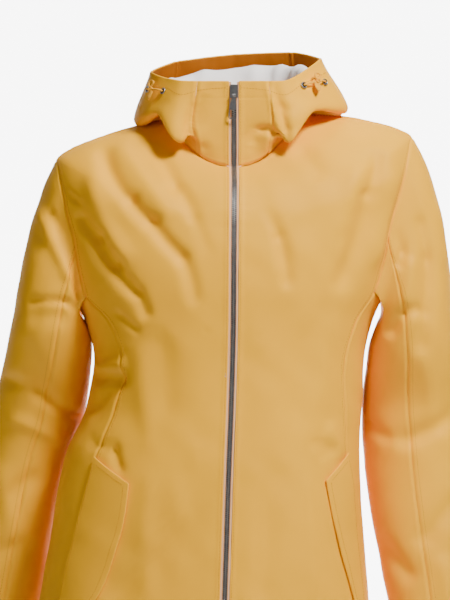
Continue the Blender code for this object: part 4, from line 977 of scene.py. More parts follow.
def side_panel(side):
    sign = SIGN[side]
    turn_row = LOWER_LEVELS[LOWER_LEVELS <= 0.525]
    rows = np.concatenate((turn_row, np.linspace(turn_row[-1], ARMPIT, 9)[1:]))

    def place(s, level):
        angle = blend(front_edge_angle(side, level), back_edge_angle(level), s)
        climb = np.clip((level - turn_row[-1]) / (ARMPIT - turn_row[-1]), 0.0, 1.0)
        dip = (ARMPIT - underarm_level(s)) * climb
        return sign * angle, level - dip

    edges = {"start": "sewn", "end": "sewn", "first": "hem", "last": "sewn"}
    obj, outer, outwards = shell(
        "side_" + side, place, torso_form, torso_normal, rows, torso_folds, edges,
        SHELL, seed=2.5 + sign, doubled=("first",))
    stitch_lines.append((outer[HEM_STITCH], outwards[HEM_STITCH]))
    return obj


def back_panel():
    def place(s, level):
        start = back_edge_angle(level)
        angle = blend(start, 360.0 - start, s)
        return angle, np.broadcast_to(level, angle.shape)

    edges = {"start": "sewn", "end": "sewn", "first": "hem", "last": "sewn"}
    obj, outer, outwards = shell(
        "back", place, torso_form, torso_normal, PANEL_LEVELS, torso_folds, edges,
        SHELL, seed=4.1, doubled=("first",))
    stitch_lines.extend([
        (outer[:, STITCH_COLUMN], outwards[:, STITCH_COLUMN]),
        (outer[:, -1 - STITCH_COLUMN], outwards[:, -1 - STITCH_COLUMN]),
        (outer[HEM_STITCH], outwards[HEM_STITCH])])
    return obj


def armhole_line(side):
    """Points round an armhole just inside the cloth, for the tape that seals its seam."""
    under = np.linspace(1.0, 0.0, 14)[1:-1]
    beneath = blend(front_edge_angle(side, ARMPIT), back_edge_angle(ARMPIT), under)
    angle = SIGN[side] * np.concatenate((
        front_edge_angle(side, ARM_LEVELS), back_edge_angle(ARM_LEVELS)[::-1], beneath))
    level = np.concatenate((ARM_LEVELS, ARM_LEVELS[::-1], underarm_level(under)))
    return torso_form(angle, level) - torso_normal(angle, level) * SEAM_TAPE_DEPTH


# ---------------------------------------------------------------- sleeves

ARMHOLE_STEPS = 10
SEAM_STEP = 3               # the long seams start this many of those steps from the corners
CAP_LENGTH = 0.150
ARM_LENGTH = 0.440
CAP_SHARES = CAP_SHARE * edge_spaced(CAP_LENGTH, EDGE_OFFSETS, PLAIN_END)
ARM_SHARES = CAP_SHARE + (1.0 - CAP_SHARE) * edge_spaced(ARM_LENGTH, PLAIN_END, HEM_OFFSETS)
SLEEVE_SHARES = np.concatenate((CAP_SHARES, ARM_SHARES[1:]))
FRONT_SEAM = blend(FRONT_CORNER, CAP_TOP, SEAM_STEP / ARMHOLE_STEPS)
BACK_SEAM = blend(BACK_CORNER, CAP_TOP, SEAM_STEP / ARMHOLE_STEPS)


def sleeve_piece(name, side, first, last, seed):
    def place(s, share):
        angle = blend(first, last, s)
        return np.broadcast_arrays(angle, share)

    edges = {"start": "sewn", "end": "sewn", "first": "sewn", "last": "hem"}
    obj, outer, outwards = shell(
        name + side, place,
        lambda u, v: sleeve_form(side, u, v), lambda u, v: sleeve_normal(side, u, v),
        SLEEVE_SHARES, sleeve_folds, edges, SHELL, seed=seed, doubled=("last",))
    stitch_lines.append((outer[-1 - HEM_STITCH], outwards[-1 - HEM_STITCH]))
    return obj, outer, outwards


def sleeve(side):
    upper, outer, outwards = sleeve_piece("sleeve_upper_", side, FRONT_SEAM, BACK_SEAM,
                                          5.0 + SIGN[side])
    stitch_lines.append((outer[:, STITCH_COLUMN], outwards[:, STITCH_COLUMN]))
    under, _, _ = sleeve_piece("sleeve_under_", side, BACK_SEAM, FRONT_SEAM + 360.0,
                               6.2 + SIGN[side])
    return upper, under

# ---------------------------------------------------------------- hood

# Folds of the hood and collar: angle and profile share of both ends, width and depth.
HOOD_FOLDS = (
    # right collar: the upright fold edge, the dark hollow by it and the bright ridge below
    (27.0, 0.93, 34.0, 0.62, 0.0045, -0.0048),
    (31.0, 0.93, 38.0, 0.60, 0.0060, 0.0058),
    (15.0, 0.42, 24.0, 0.52, 0.0045, 0.0058),
    (24.0, 0.52, 36.0, 0.50, 0.0045, 0.0064),
    (15.0, 0.42, 13.0, 0.22, 0.0070, 0.0029),
    (36.0, 0.50, 42.0, 0.66, 0.0040, -0.0038),
    (34.0, 0.86, 44.0, 0.84, 0.0050, 0.0019),
    (36.0, 0.72, 46.0, 0.74, 0.0050, 0.0019),
    # left collar: broad shade, the fold beside it and the seam hollow
    (-20.0, 0.90, -31.0, 0.62, 0.0120, 0.0048),
    (-29.0, 0.80, -33.0, 0.34, 0.0060, 0.0045),
    (-33.0, 0.60, -40.0, 0.40, 0.0060, -0.0042),
    (-37.0, 0.36, -30.0, 0.20, 0.0050, 0.0038),
    (-24.0, 0.30, -20.0, 0.12, 0.0060, 0.0026),
    # soft pulls by the eyelets and over the bag
    (50.0, 0.90, 62.0, 0.70, 0.0080, 0.0022),
    (-50.0, 0.88, -62.0, 0.70, 0.0080, 0.0026),
    (84.0, 0.95, 100.0, 0.66, 0.0120, 0.0038),
    (-84.0, 0.95, -102.0, 0.64, 0.0120, 0.0042),
    (112.0, 0.92, 122.0, 0.64, 0.0130, 0.0042),
    (-114.0, 0.90, -124.0, 0.62, 0.0120, 0.0038),
    (140.0, 0.96, 146.0, 0.66, 0.0140, 0.0045),
    (-140.0, 0.94, -150.0, 0.66, 0.0140, 0.0042),
    (166.0, 0.90, 172.0, 0.62, 0.0140, 0.0042),
    (-168.0, 0.92, -162.0, 0.64, 0.0130, 0.0035),
    (60.0, 0.66, 84.0, 0.60, 0.0090, -0.0026),
    (-60.0, 0.68, -86.0, 0.60, 0.0090, -0.0029),
)
FOLD_SAMPLES = 14
NEAR_SHARE = 0.22           # a fold shapes only its own layer of the rolled hood


def hood_folds(angle, share, point, folds=None):
    height = np.zeros(np.shape(share))
    for angle0, share0, angle1, share1, width, depth in folds or HOOD_FOLDS:
        steps = np.linspace(0.0, 1.0, FOLD_SAMPLES)
        line = hood_form(blend(angle0, angle1, steps), blend(share0, share1, steps))
        gaps = np.linalg.norm(point[..., None, :] - line, axis=-1)
        nearest = np.argmin(gaps, axis=-1)
        distance = np.take_along_axis(gaps, nearest[..., None], axis=-1)[..., 0]
        own = ease((NEAR_SHARE - np.abs(share - blend(share0, share1, steps[nearest]))) / 0.10)
        fade = 0.35 + 0.65 * np.sin(math.pi * steps[nearest])
        height -= depth * np.exp(-(distance / width) ** 2) * own * fade
    return height


def neck_turns():
    start = float(angle_at_offset("right", 1.0, ZIP_OPENING))
    front = np.linspace(start, SHOULDER_SEAM, 11)
    return np.concatenate((front, np.linspace(SHOULDER_SEAM, 180.0, 7)[1:]))


COLLAR_STEP, SIDE_END_STEP = 3, 14
HOOD_LENGTH = 0.235
HOOD_ROWS = edge_spaced(HOOD_LENGTH, EDGE_OFFSETS, HEM_OFFSETS, 0.0030)


def hood_piece(name, first, last, edges, seed, look=None):
    def place(s, share):
        return np.broadcast_arrays(blend(first, last, s), share)

    return shell(name, place, hood_form, hood_normal, HOOD_ROWS, hood_folds, edges,
                 look or SHELL, seed=seed, doubled=("last",))


def paint_inside_shade(obj, outer):
    """Gives the piece's inner face a darker copy of the shell colour: painted shade inside the hood."""
    obj.data.materials.append(HOOD_INSIDE_SHADE)
    quads = (outer.shape[0] - 1) * (outer.shape[1] - 1)
    slots = np.zeros(len(obj.data.polygons), dtype=np.int32)
    slots[quads:2 * quads] = 1
    obj.data.polygons.foreach_set("material_index", slots)


def hood():
    turns = neck_turns()
    start, collar, side_end = turns[0], turns[COLLAR_STEP], turns[SIDE_END_STEP]
    pieces = {}
    for side, sign in SIGN.items():
        ends = (sign * start, sign * collar)
        kinds = ("zip", "sewn")
        if side == "left":
            ends, kinds = ends[::-1], kinds[::-1]
        edges = {"start": kinds[0], "end": kinds[1], "first": "sewn", "last": "hem"}
        pieces["collar_front_" + side] = hood_piece(
            "collar_front_" + side, *ends, edges, 7.0 + sign)
        ends = sorted((sign * collar, sign * side_end))
        edges = {"start": "sewn", "end": "sewn", "first": "sewn", "last": "hem"}
        pieces["hood_side_" + side] = hood_piece("hood_side_" + side, *ends, edges, 8.4 + sign)
    edges = {"start": "sewn", "end": "sewn", "first": "sewn", "last": "hem"}
    pieces["hood_centre"] = hood_piece("hood_centre", side_end, 360.0 - side_end, edges, 9.9)
    for name, (obj, outer, outwards) in pieces.items():
        paint_inside_shade(obj, outer)
        stitch_lines.append((outer[-1 - HEM_STITCH], outwards[-1 - HEM_STITCH]))
    for name, edge in (("collar_front_right", 2), ("collar_front_left", -3),
                       ("hood_centre", STITCH_COLUMN), ("hood_centre", -1 - STITCH_COLUMN)):
        _, outer, outwards = pieces[name]
        stitch_lines.append((outer[:, edge], outwards[:, edge]))
    return {name: piece[0] for name, piece in pieces.items()}


# ---------------------------------------------------------------- hood lining

LINING_FOLDS = (
    (70.0, 0.30, 84.0, 0.14, 0.0060, 0.0030),
    (92.0, 0.32, 98.0, 0.12, 0.0050, 0.0026),
    (108.0, 0.34, 118.0, 0.14, 0.0070, 0.0032),
    (-72.0, 0.30, -88.0, 0.16, 0.0060, 0.0030),
    (-98.0, 0.34, -104.0, 0.12, 0.0060, 0.0028),
    (-116.0, 0.30, -128.0, 0.14, 0.0070, 0.0030),
    (134.0, 0.34, 140.0, 0.12, 0.0080, 0.0032),
    (160.0, 0.30, 166.0, 0.12, 0.0090, 0.0028),
    (-160.0, 0.34, -150.0, 0.14, 0.0080, 0.0030),
)
LINING_BEHIND = -(0.0015 + 0.0003)
LINING_CLOTH = 0.0009


def hood_lining():
    first = neck_turns()[COLLAR_STEP + 1]

    def place(s, share):
        return np.broadcast_arrays(blend(first, 360.0 - first, s), share)

    def folds(u, v, point):
        return np.minimum(hood_folds(u, v, point) + hood_folds(u, v, point, LINING_FOLDS), 0.0)

    edges = {"start": "open", "end": "open", "first": "open", "last": "open"}
    rows = np.linspace(0.09, 0.52, 34)
    return shell("hood_lining", place, hood_form, hood_normal, rows, folds, edges, LINING,
                 lift=LINING_BEHIND, thickness=LINING_CLOTH, seed=11.0)[0]

# ---------------------------------------------------------------- materials

def shader_of(name, color, roughness, metallic=0.0):
    made = bpy.data.materials.new(name)
    made.use_nodes = True
    shader = made.node_tree.nodes["Principled BSDF"]
    shader.inputs["Base Color"].default_value = (*color, 1.0)
    shader.inputs["Roughness"].default_value = roughness
    shader.inputs["Metallic"].default_value = metallic
    return made, shader


def added(made, kind, **values):
    node = made.node_tree.nodes.new(kind)
    for name, value in values.items():
        if hasattr(node, name):
            setattr(node, name, value)
        else:
            node.inputs[name.replace("_", " ")].default_value = value
    return node


def linked(made, source, output, target, socket):
    made.node_tree.links.new(source.outputs[output], target.inputs[socket])


def mottled(made, shader, color, spread, scale, detail=3.0):
    """Varies the base colour softly between a darker and a lighter version."""
    where = added(made, "ShaderNodeTexCoord")
    noise = added(made, "ShaderNodeTexNoise", Scale=scale, Detail=detail)
    ramp = added(made, "ShaderNodeValToRGB")
    ramp.color_ramp.elements[0].position = 0.30
    ramp.color_ramp.elements[1].position = 0.72
    ramp.color_ramp.elements[0].color = (*[c * (1.0 - spread) for c in color], 1.0)
    ramp.color_ramp.elements[1].color = (*[c * (1.0 + spread) for c in color], 1.0)
    linked(made, where, "Object", noise, "Vector")
    linked(made, noise, "Fac", ramp, "Fac")
    linked(made, ramp, "Color", shader, "Base Color")


def woven(made, shader, pitch, strength, crinkle):
    """Bump of a plain weave, threads up and across, over a fine crinkle."""
    where = added(made, "ShaderNodeTexCoord")
    heights = []
    for turn in (math.radians(3.0), math.radians(93.0)):
        mapping = added(made, "ShaderNodeMapping")
        mapping.inputs["Rotation"].default_value = (0.0, turn, 0.0)
        wave = added(made, "ShaderNodeTexWave", Scale=1.0 / pitch / 6.28, Distortion=1.2,
                     Detail=1.0)
        wave.inputs["Detail Scale"].default_value = 40.0
        linked(made, where, "Object", mapping, "Vector")
        linked(made, mapping, "Vector", wave, "Vector")
        heights.append(wave)
    weave = added(made, "ShaderNodeMath", operation="MULTIPLY")
    made.node_tree.links.new(heights[0].outputs["Fac"], weave.inputs[0])
    made.node_tree.links.new(heights[1].outputs["Fac"], weave.inputs[1])
    noise = added(made, "ShaderNodeTexNoise", Scale=210.0, Detail=5.0)
    linked(made, where, "Object", noise, "Vector")
    coarse = added(made, "ShaderNodeBump", Strength=crinkle, Distance=0.0006)
    fine = added(made, "ShaderNodeBump", Strength=strength, Distance=0.00012)
    linked(made, noise, "Fac", coarse, "Height")
    made.node_tree.links.new(weave.outputs[0], fine.inputs["Height"])
    linked(made, coarse, "Normal", fine, "Normal")
    linked(made, fine, "Normal", shader, "Normal")


def cloth_look(name, color, roughness, sheen, spread=0.05, pitch=0.00055, strength=0.35,
               crinkle=0.10):
    made, shader = shader_of(name, color, roughness)
    shader.inputs["Sheen Weight"].default_value = sheen
    shader.inputs["Sheen Roughness"].default_value = 0.45
    shader.inputs["Sheen Tint"].default_value = (1.0, 0.86, 0.55, 1.0)
    shader.inputs["Specular IOR Level"].default_value = 0.20
    mottled(made, shader, color, spread, 9.0)
    woven(made, shader, pitch, strength, crinkle)
    return made


def metal_look(name, color, roughness):
    made, shader = shader_of(name, color, roughness, 1.0)
    mottled(made, shader, color, 0.18, 260.0)
    where = added(made, "ShaderNodeTexCoord")
    noise = added(made, "ShaderNodeTexNoise", Scale=900.0, Detail=4.0)
    bump = added(made, "ShaderNodeBump", Strength=0.18, Distance=0.0002)
    linked(made, where, "Object", noise, "Vector")
    linked(made, noise, "Fac", bump, "Height")
    linked(made, bump, "Normal", shader, "Normal")
    return made


SHELL = cloth_look("shell_cloth", (0.970, 0.455, 0.001), 0.60, 0.02)
# The hood's inner face: the shell cloth darkened, as painted shade.
HOOD_INSIDE_SHADE = cloth_look("shell_facing", (0.400, 0.115, 0.002), 0.70, 0.02)
LINING = cloth_look("lining_cloth", (0.95, 0.91, 0.88), 0.75, 0.15, 0.04, 0.00045, 0.25, 0.25)
TAPE = cloth_look("zip_tape", (0.860, 0.480, 0.250), 0.85, 0.05, 0.06, 0.0008, 0.6)
THREAD = cloth_look("thread", (0.560, 0.200, 0.004), 0.60, 0.10, 0.03, 0.0004, 0.3)
CORD_LOOK = cloth_look("drawcord", (0.900, 0.400, 0.010), 0.70, 0.20, 0.06, 0.0007, 0.8)
METAL = metal_look("gunmetal", (0.330, 0.325, 0.320), 0.36)
TOOTH_METAL = metal_look("tooth_metal", (0.520, 0.515, 0.500), 0.34)
# Near black zip core: painted shade between the teeth.
ZIP_CORE_SHADE = cloth_look("zip_core", (0.030, 0.024, 0.020), 0.80, 0.0, 0.06, 0.0008, 0.6)
# Near black disc colour: painted shade in the eyelet holes.
EYELET_HOLE_SHADE, _ = shader_of("hole", (0.012, 0.010, 0.008), 0.95)

# ---------------------------------------------------------------- pocket flaps

FLAP_THICKNESS = 0.0022
FLAP_STANDOFF = 0.0012


def body_place(x, z):
    """The body's angle and level behind a point seen from the front, below the armpits."""
    side = "right" if x >= 0.0 else "left"
    angle, level = SIGN[side] * 45.0, 0.3
    for _ in range(4):
        low, high = 0.0, ARMPIT
        for _ in range(24):
            level = (low + high) / 2.0
            if torso_form(angle, level)[2] < z:
                low = level
            else:
                high = level
        offset = abs(x - float(TORSO_TRACK.read("zip_x", level)))
        angle = SIGN[side] * float(angle_at_offset(side, level, offset))
    return angle, level


def pocket_flap(side):
    """The flap over a slanting pocket: pointed at its top and cut off at its foot."""
    read = FLAP_TRACKS[side].read
    shares = np.linspace(0.0, 1.0, 13)
    edges = {}
    for edge in ("sewn", "free"):
        edges[edge] = np.array([
            body_place(float(read(edge + "_x", share)), float(read(edge + "_z", share)))
            for share in shares])

    def place(s, t):
        parts = []
        for k in (0, 1):
            sewn = np.interp(t, shares, edges["sewn"][:, k])
            free = np.interp(t, shares, edges["free"][:, k])
            parts.append(blend(sewn, free, s))
        return np.broadcast_arrays(*parts)

    rows = edge_spaced(0.19, EDGE_OFFSETS, EDGE_OFFSETS, 0.0036)
    kinds = {"start": "open", "end": "open", "first": "open", "last": "open"}
    obj, outer, outwards = shell(
        "pocket_flap_" + side, place, torso_form, torso_normal, rows, torso_folds, kinds,
        SHELL, lift=FLAP_STANDOFF + FLAP_THICKNESS, thickness=FLAP_THICKNESS, seed=12.0)
    step = STITCH_COLUMN
    stitch_lines.append((outer[step:-step, -1 - step], outwards[step:-step, -1 - step]))
    stitch_lines.append((outer[step:-step, 3], outwards[step:-step, 3]))
    stitch_lines.append((outer[step, step:-step], outwards[step, step:-step]))
    return obj


# ---------------------------------------------------------------- zip

TOOTH_PITCH = 0.00236
TOOTH_TALL = 0.00120
TOOTH_OVER = 0.00062        # how far each tooth reaches past the middle line
CHAIN_PROUD = 0.0006
SLIDER_TOP_Z, SLIDER_HEIGHT = 0.0430, 0.0150


def front_line(offset, step):
    """Points beside the zip line. Steps 0 to 1 climb the body and 1 to 2 the collar."""
    offset, step = np.broadcast_arrays(np.asarray(offset, float), np.asarray(step, float))
    side = np.where(offset >= 0.0, "right", "left")
    held = np.minimum(step, 1.0)
    angle = np.where(offset >= 0.0, angle_at_offset("right", held, np.abs(offset)),
                     -angle_at_offset("left", held, np.abs(offset)))
    body = torso_form(angle, held)
    edge = hood_form(angle_at_offset("right", 1.0, ZIP_OPENING), np.maximum(step - 1.0, 0.0))
    collar = xyz(body[..., 0], edge[..., 1], edge[..., 2])
    return np.where((step <= 1.0)[..., None], body, collar)


def front_line_normal(offset, step):
    ahead = (front_line(offset, np.minimum(step + 0.01, 2.0))
             - front_line(offset, np.maximum(step - 0.01, 0.0)))
    return unit(np.cross(np.array((1.0, 0.0, 0.0)), ahead))


def zip_run(end_z):
    """Points, directions and normals every tooth's pitch up the zip, below this height."""
    steps = np.linspace(0.0, 2.0, 1600)
    line = front_line(0.0, steps)
    run = np.concatenate(([0.0], np.cumsum(np.linalg.norm(np.diff(line, axis=0), axis=1))))
    top = np.interp(end_z, line[:, 2], run)
    at = np.arange(0.004, top, TOOTH_PITCH / 2.0)
    step = np.interp(at, run, steps)
    place = front_line(0.0, step)
    outward = front_line_normal(0.0, step)
    upward = unit(front_line(0.0, np.minimum(step + 0.004, 2.0)) - place)
    return place, upward, outward


def zip_teeth():
    """Two rows of teeth whose heads take turns across the middle line."""
    place, upward, outward = zip_run(SLIDER_TOP_Z - SLIDER_HEIGHT - 0.0005)
    half, over = CHAIN_WIDTH / 2.0, TOOTH_OVER
    tall = TOOTH_TALL / 2.0
    outline = ((-over, -0.55 * tall), (-over * 0.4, -tall), (half * 0.55, -tall),
               (half * 0.72, -1.5 * tall), (half, -1.5 * tall), (half, 1.5 * tall),
               (half * 0.72, 1.5 * tall), (half * 0.55, tall), (-over * 0.4, tall),
               (-over, 0.55 * tall))
    rings = ((-0.0010, 0.80), (-0.0006, 1.0), (0.0006, 1.0), (0.0011, 0.78))
    count = len(outline)
    points, faces = [], []
    for k in range(len(place)):
        sign = 1.0 if k % 2 else -1.0
        across = np.array((sign, 0.0, 0.0))
        middle = place[k] + outward[k] * (CHAIN_PROUD - 0.0009)
        base = len(points)
        for depth, size in rings:
            for x, z in outline:
                points.append(middle + across * (half * 0.5 + (x - half * 0.5) * size)
                              + upward[k] * z * size + outward[k] * depth)
        for r in range(len(rings) - 1):
            for c in range(count):
                d = (c + 1) % count
                quad = (base + r * count + c, base + r * count + d,
                        base + (r + 1) * count + d, base + (r + 1) * count + c)
                faces.append(quad if sign > 0.0 else quad[::-1])
        for ring, turned in ((0, True), (len(rings) - 1, False)):
            first = base + ring * count
            for c in range(count // 2 - 1):
                quad = (first + c, first + c + 1, first + count - 2 - c, first + count - 1 - c)
                faces.append(quad if turned == (sign < 0.0) else quad[::-1])
    return mesh_object("zip_teeth", points, faces, TOOTH_METAL, smooth=False)


def zip_core():
    """The cords that the teeth sit on, near black as painted shade seen between the teeth."""
    place, _, outward = zip_run(SLIDER_TOP_Z - SLIDER_HEIGHT - 0.0005)
    half = CHAIN_WIDTH / 2.0 - 0.0004
    across = np.array((half, 0.0, 0.0))
    rows = [place + outward * depth + way * across
            for depth, way in ((-0.0006, -1.0), (-0.0006, 1.0), (-0.0012, 1.0), (-0.0012, -1.0))]
    count = len(place)
    faces = [(a * count + k, a * count + k + 1, b * count + k + 1, b * count + k)
             for a, b in ((0, 1), (1, 2), (2, 3), (3, 0)) for k in range(count - 1)]
    faces += [(0, count, 2 * count, 3 * count), tuple(n * count - 1 for n in (4, 3, 2, 1))]
    return mesh_object("zip_core", np.concatenate(rows), faces, ZIP_CORE_SHADE, smooth=False)


# ---------------------------------------------------------------- eyelets and drawcords

EYELET_RADIUS, EYELET_WIRE, CORD_RADIUS = 0.0032, 0.0008, 0.0011
CORD_POINTS = 12
KNOT_SHARE = 0.52


def hood_frame(angle, share, standoff):
    """A frame standing off the hood: local Z out of the cloth, local Y up it."""
    outward = Vector(hood_normal(angle, share))
    place = Vector(hood_form(angle, share)) + outward * standoff
    across = Vector((0.0, 0.0, 1.0)).cross(outward).normalized()
    upward = outward.cross(across)
    made = Matrix((across, upward, outward)).transposed().to_4x4()
    made.translation = place
    return made


def turned_ring(name, profile, steps, look):
    """A ring from radius and height pairs turned round local Z."""
    turn = np.arange(steps) / steps * 2.0 * math.pi
    points = [(r * math.cos(a), r * math.sin(a), z) for r, z in profile for a in turn]
    faces = []
    for k in range(len(profile)):
        m = (k + 1) % len(profile)
        for c in range(steps):
            d = (c + 1) % steps
            faces.append((k * steps + c, k * steps + d, m * steps + d, m * steps + c))
    return mesh_object(name, points, faces, look)


def eyelet(name, angle, share):
    """A rolled metal ring, and in it a near black disc as painted shade for the hole that it frames."""
    turn = np.arange(12) / 12 * 2.0 * math.pi
    profile = [(EYELET_RADIUS + EYELET_WIRE * 1.1 * math.cos(a), EYELET_WIRE * math.sin(a))
               for a in turn]
    ring = turned_ring("eyelet_" + name, profile, 40, METAL)
    ring.matrix_world = hood_frame(angle, share, EYELET_WIRE + 0.0006)
    # A near black disc just inside the ring: painted shade where the hole is.
    steps = 32
    rim = EYELET_RADIUS - 0.0002
    circle = [(rim * math.cos(a), rim * math.sin(a), z) for z in (0.0003, -0.0002)
              for a in np.arange(steps) / steps * 2.0 * math.pi]
    faces = [(c, steps + c, steps + (c + 1) % steps, (c + 1) % steps) for c in range(steps)]
    faces += [tuple(range(steps)), tuple(range(2 * steps - 1, steps - 1, -1))]
    hole = mesh_object("eyelet_hole_" + name, circle, faces, EYELET_HOLE_SHADE)
    hole.matrix_world = hood_frame(angle, share, 0.0008)
    return ring, hole


def cord_place(side, along):
    track = Track(CORD_COLUMNS, CORDS[side])
    return hood_frame(SIGN[side] * float(track.read("angle", along)),
                      float(track.read("share", along)), float(track.read("standoff", along)))


def tube(name, points, radius, look, corners=10, closed=False):
    """A mesh tube along points, with rounded ends when it is open."""
    line = np.array(points)
    if closed:
        ahead = unit(np.roll(line, -1, axis=0) - np.roll(line, 1, axis=0))
    else:
        ahead = unit(np.gradient(line, axis=0))
    side = unit(np.cross(ahead[0], (0.31, 0.21, 0.93)))
    rings = []
    for k, point in enumerate(line):
        side = unit(side - ahead[k] * np.dot(side, ahead[k]))
        up = np.cross(ahead[k], side)
        turn = np.arange(corners) / corners * 2.0 * math.pi
        rings.append(point + radius * (np.cos(turn)[:, None] * side + np.sin(turn)[:, None] * up))
    if not closed:
        for end, inwards in ((0, 1.0), (-1, -1.0)):
            middle = line[end]
            cap = middle + (rings[end] - middle) * 0.55 - ahead[end] * radius * 0.5 * inwards
            rings = [cap] + rings if end == 0 else rings + [cap]
    count = len(rings)
    faces = []
    for k in range(count if closed else count - 1):
        m = (k + 1) % count
        for c in range(corners):
            d = (c + 1) % corners
            faces.append((k * corners + c, k * corners + d, m * corners + d, m * corners + c))
    points = np.concatenate(rings)
    obj = bpy.data.objects.new(name, bpy.data.meshes.new(name))
    bpy.context.scene.collection.objects.link(obj)
    if not closed:
        faces += [list(range(corners))[::-1],
                  list(range((count - 1) * corners, count * corners))]
    obj.data.from_pydata(points.tolist(), [], faces)
    obj.data.materials.append(look)
    obj.data.shade_smooth()
    return obj


def cord_route(side):
    return [tuple(cord_place(side, k / (CORD_POINTS - 1.0)).translation)
            for k in range(CORD_POINTS)]


def drawcord(side):
    """The cord between two eyelets, with its knot, small loops and flat hanging end."""
    route = cord_route(side)
    curve = bpy.data.curves.new("drawcord_" + side, "CURVE")
    curve.dimensions = "3D"
    curve.bevel_depth = CORD_RADIUS
    curve.bevel_resolution = 4
    curve.use_fill_caps = True
    spline = curve.splines.new("POLY")
    spline.points.add(len(route) - 1)
    for point, place in zip(spline.points, route):
        point.co = (*place, 1.0)
    cord = bpy.data.objects.new("drawcord_" + side, curve)
    bpy.context.scene.collection.objects.link(cord)
    curve.materials.append(CORD_LOOK)
    knot_frame = cord_place(side, KNOT_SHARE)
    turns = np.linspace(0.0, 2.0 * math.pi, 48, endpoint=False)
    wound = [knot_frame @ Vector((0.0019 * math.cos(2 * t) + 0.0008 * math.cos(t),
                                  0.0016 * math.sin(2 * t) + 0.0006 * math.sin(t),
                                  0.0016 * math.sin(3 * t))) for t in turns]
    knot = tube("drawcord_knot_" + side, wound, CORD_RADIUS, CORD_LOOK, closed=True)
    loop_line = [(0.0, 0.001, 0.0008), (-0.0030, 0.0050, 0.0016), (-0.0016, 0.0090, 0.0014),
                 (0.0024, 0.0092, 0.0010), (0.0052, 0.0066, 0.0014), (0.0014, 0.0016, 0.0016)]
    loop = tube("drawcord_loop_" + side, smooth_line([knot_frame @ Vector(p) for p in loop_line]),
                CORD_RADIUS * 0.85, CORD_LOOK)
    lean = Matrix.Rotation(math.radians(-12.0 * SIGN[side]), 4, "Z")
    tail = flat_tail("drawcord_tail_" + side, knot_frame @ lean)
    return cord, route, [knot, loop, tail]


def smooth_line(points, steps=6):
    """More points along a line, on a smooth curve through the given ones."""
    line = np.array([tuple(p) for p in points])
    slopes = np.gradient(line, axis=0)
    made = []
    for k in range(len(line) - 1):
        for t in np.arange(steps) / steps:
            made.append(hermite((line[k], line[k + 1]), (slopes[k], slopes[k + 1]), 1.0, t))
    return [*made, line[-1]]


def flat_tail(name, place):
    """A soft pressed cord end, broad in its middle, with rounded long edges."""
    rows = ((0.0004, 0.0018), (-0.0022, 0.0034), (-0.0052, 0.0048), (-0.0080, 0.0044),
            (-0.0108, 0.0026), (-0.0128, 0.0010))
    points, faces, corners = [], [], 12
    for y, half in rows:
        for c in range(corners):
            turn = 2.0 * math.pi * c / corners
            curl = 0.0008 + 0.0007 * math.sin(y * 420.0)
            points.append((half * math.cos(turn), y, curl + 0.0006 * math.sin(turn)))
    for r in range(len(rows) - 1):
        for c in range(corners):
            d = (c + 1) % corners
            faces.append((r * corners + c, r * corners + d,
                          (r + 1) * corners + d, (r + 1) * corners + c))
    obj = bpy.data.objects.new(name, bpy.data.meshes.new(name))
    bpy.context.scene.collection.objects.link(obj)
    last = (len(rows) - 1) * corners
    faces += [list(range(corners))[::-1], [last + c for c in range(corners)]]
    obj.data.from_pydata(points, [], faces)
    obj.data.materials.append(CORD_LOOK)
    obj.data.shade_smooth()
    obj.matrix_world = place
    return obj

# ---------------------------------------------------------------- build

DRAWCORD_LENGTHS = {"left": 0.0353, "right": 0.0365}
for each_side in SIGN:
    cord, route, extras = drawcord(each_side)
    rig.ride(cord, BODY)
    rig.replaces(cord, "drawcord_" + each_side)
    for extra in extras:
        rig.ride(extra, BODY)
    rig.cord(cord, exit=route[0], length=DRAWCORD_LENGTHS[each_side], diameter=2.0 * CORD_RADIUS,
            far_end="object", stiffness="limp", lay="loose", with_pieces=extras)

made = {}
for each_side in SIGN:
    made["front_" + each_side] = front_panel(each_side)
    made["side_" + each_side] = side_panel(each_side)
    upper, under = sleeve(each_side)
    made["sleeve_upper_" + each_side], made["sleeve_under_" + each_side] = upper, under
    made["pocket_flap_" + each_side] = pocket_flap(each_side)
made["back"] = back_panel()
made.update(hood())
made["hood_lining"] = hood_lining()
made["zip_chain"] = zip_teeth()
for each_name, each_piece in made.items():
    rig.ride(each_piece, BODY)
    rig.replaces(each_piece, each_name)
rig.ride(zip_core(), BODY)
stitching = dashes("topstitching", stitch_lines, THREAD)
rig.ride(stitching, BODY)
for each_side in SIGN:
    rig.ride(tube("armhole_tape_" + each_side, armhole_line(each_side), SEAM_TAPE_RADIUS, SHELL,
                 closed=True), BODY)
for each_name, (each_angle, each_share) in EYELETS.items():
    ring, hole = eyelet(each_name, each_angle, each_share)
    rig.ride(ring, BODY)
    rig.ride(hole, BODY)
    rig.replaces(ring, "eyelet_" + each_name)

# The solids whose shape is right keep it and get the finer looks.
for each_name, each_look in (("zip_tape_left", TAPE), ("zip_tape_right", TAPE),
                             ("zip_slider", METAL), ("zip_pull", METAL), ("zip_box", METAL)):
    for each_slot in frame["nodes"][each_name].material_slots:
        each_slot.material = each_look
# ---------------------------------------------------------------- what each cloth is

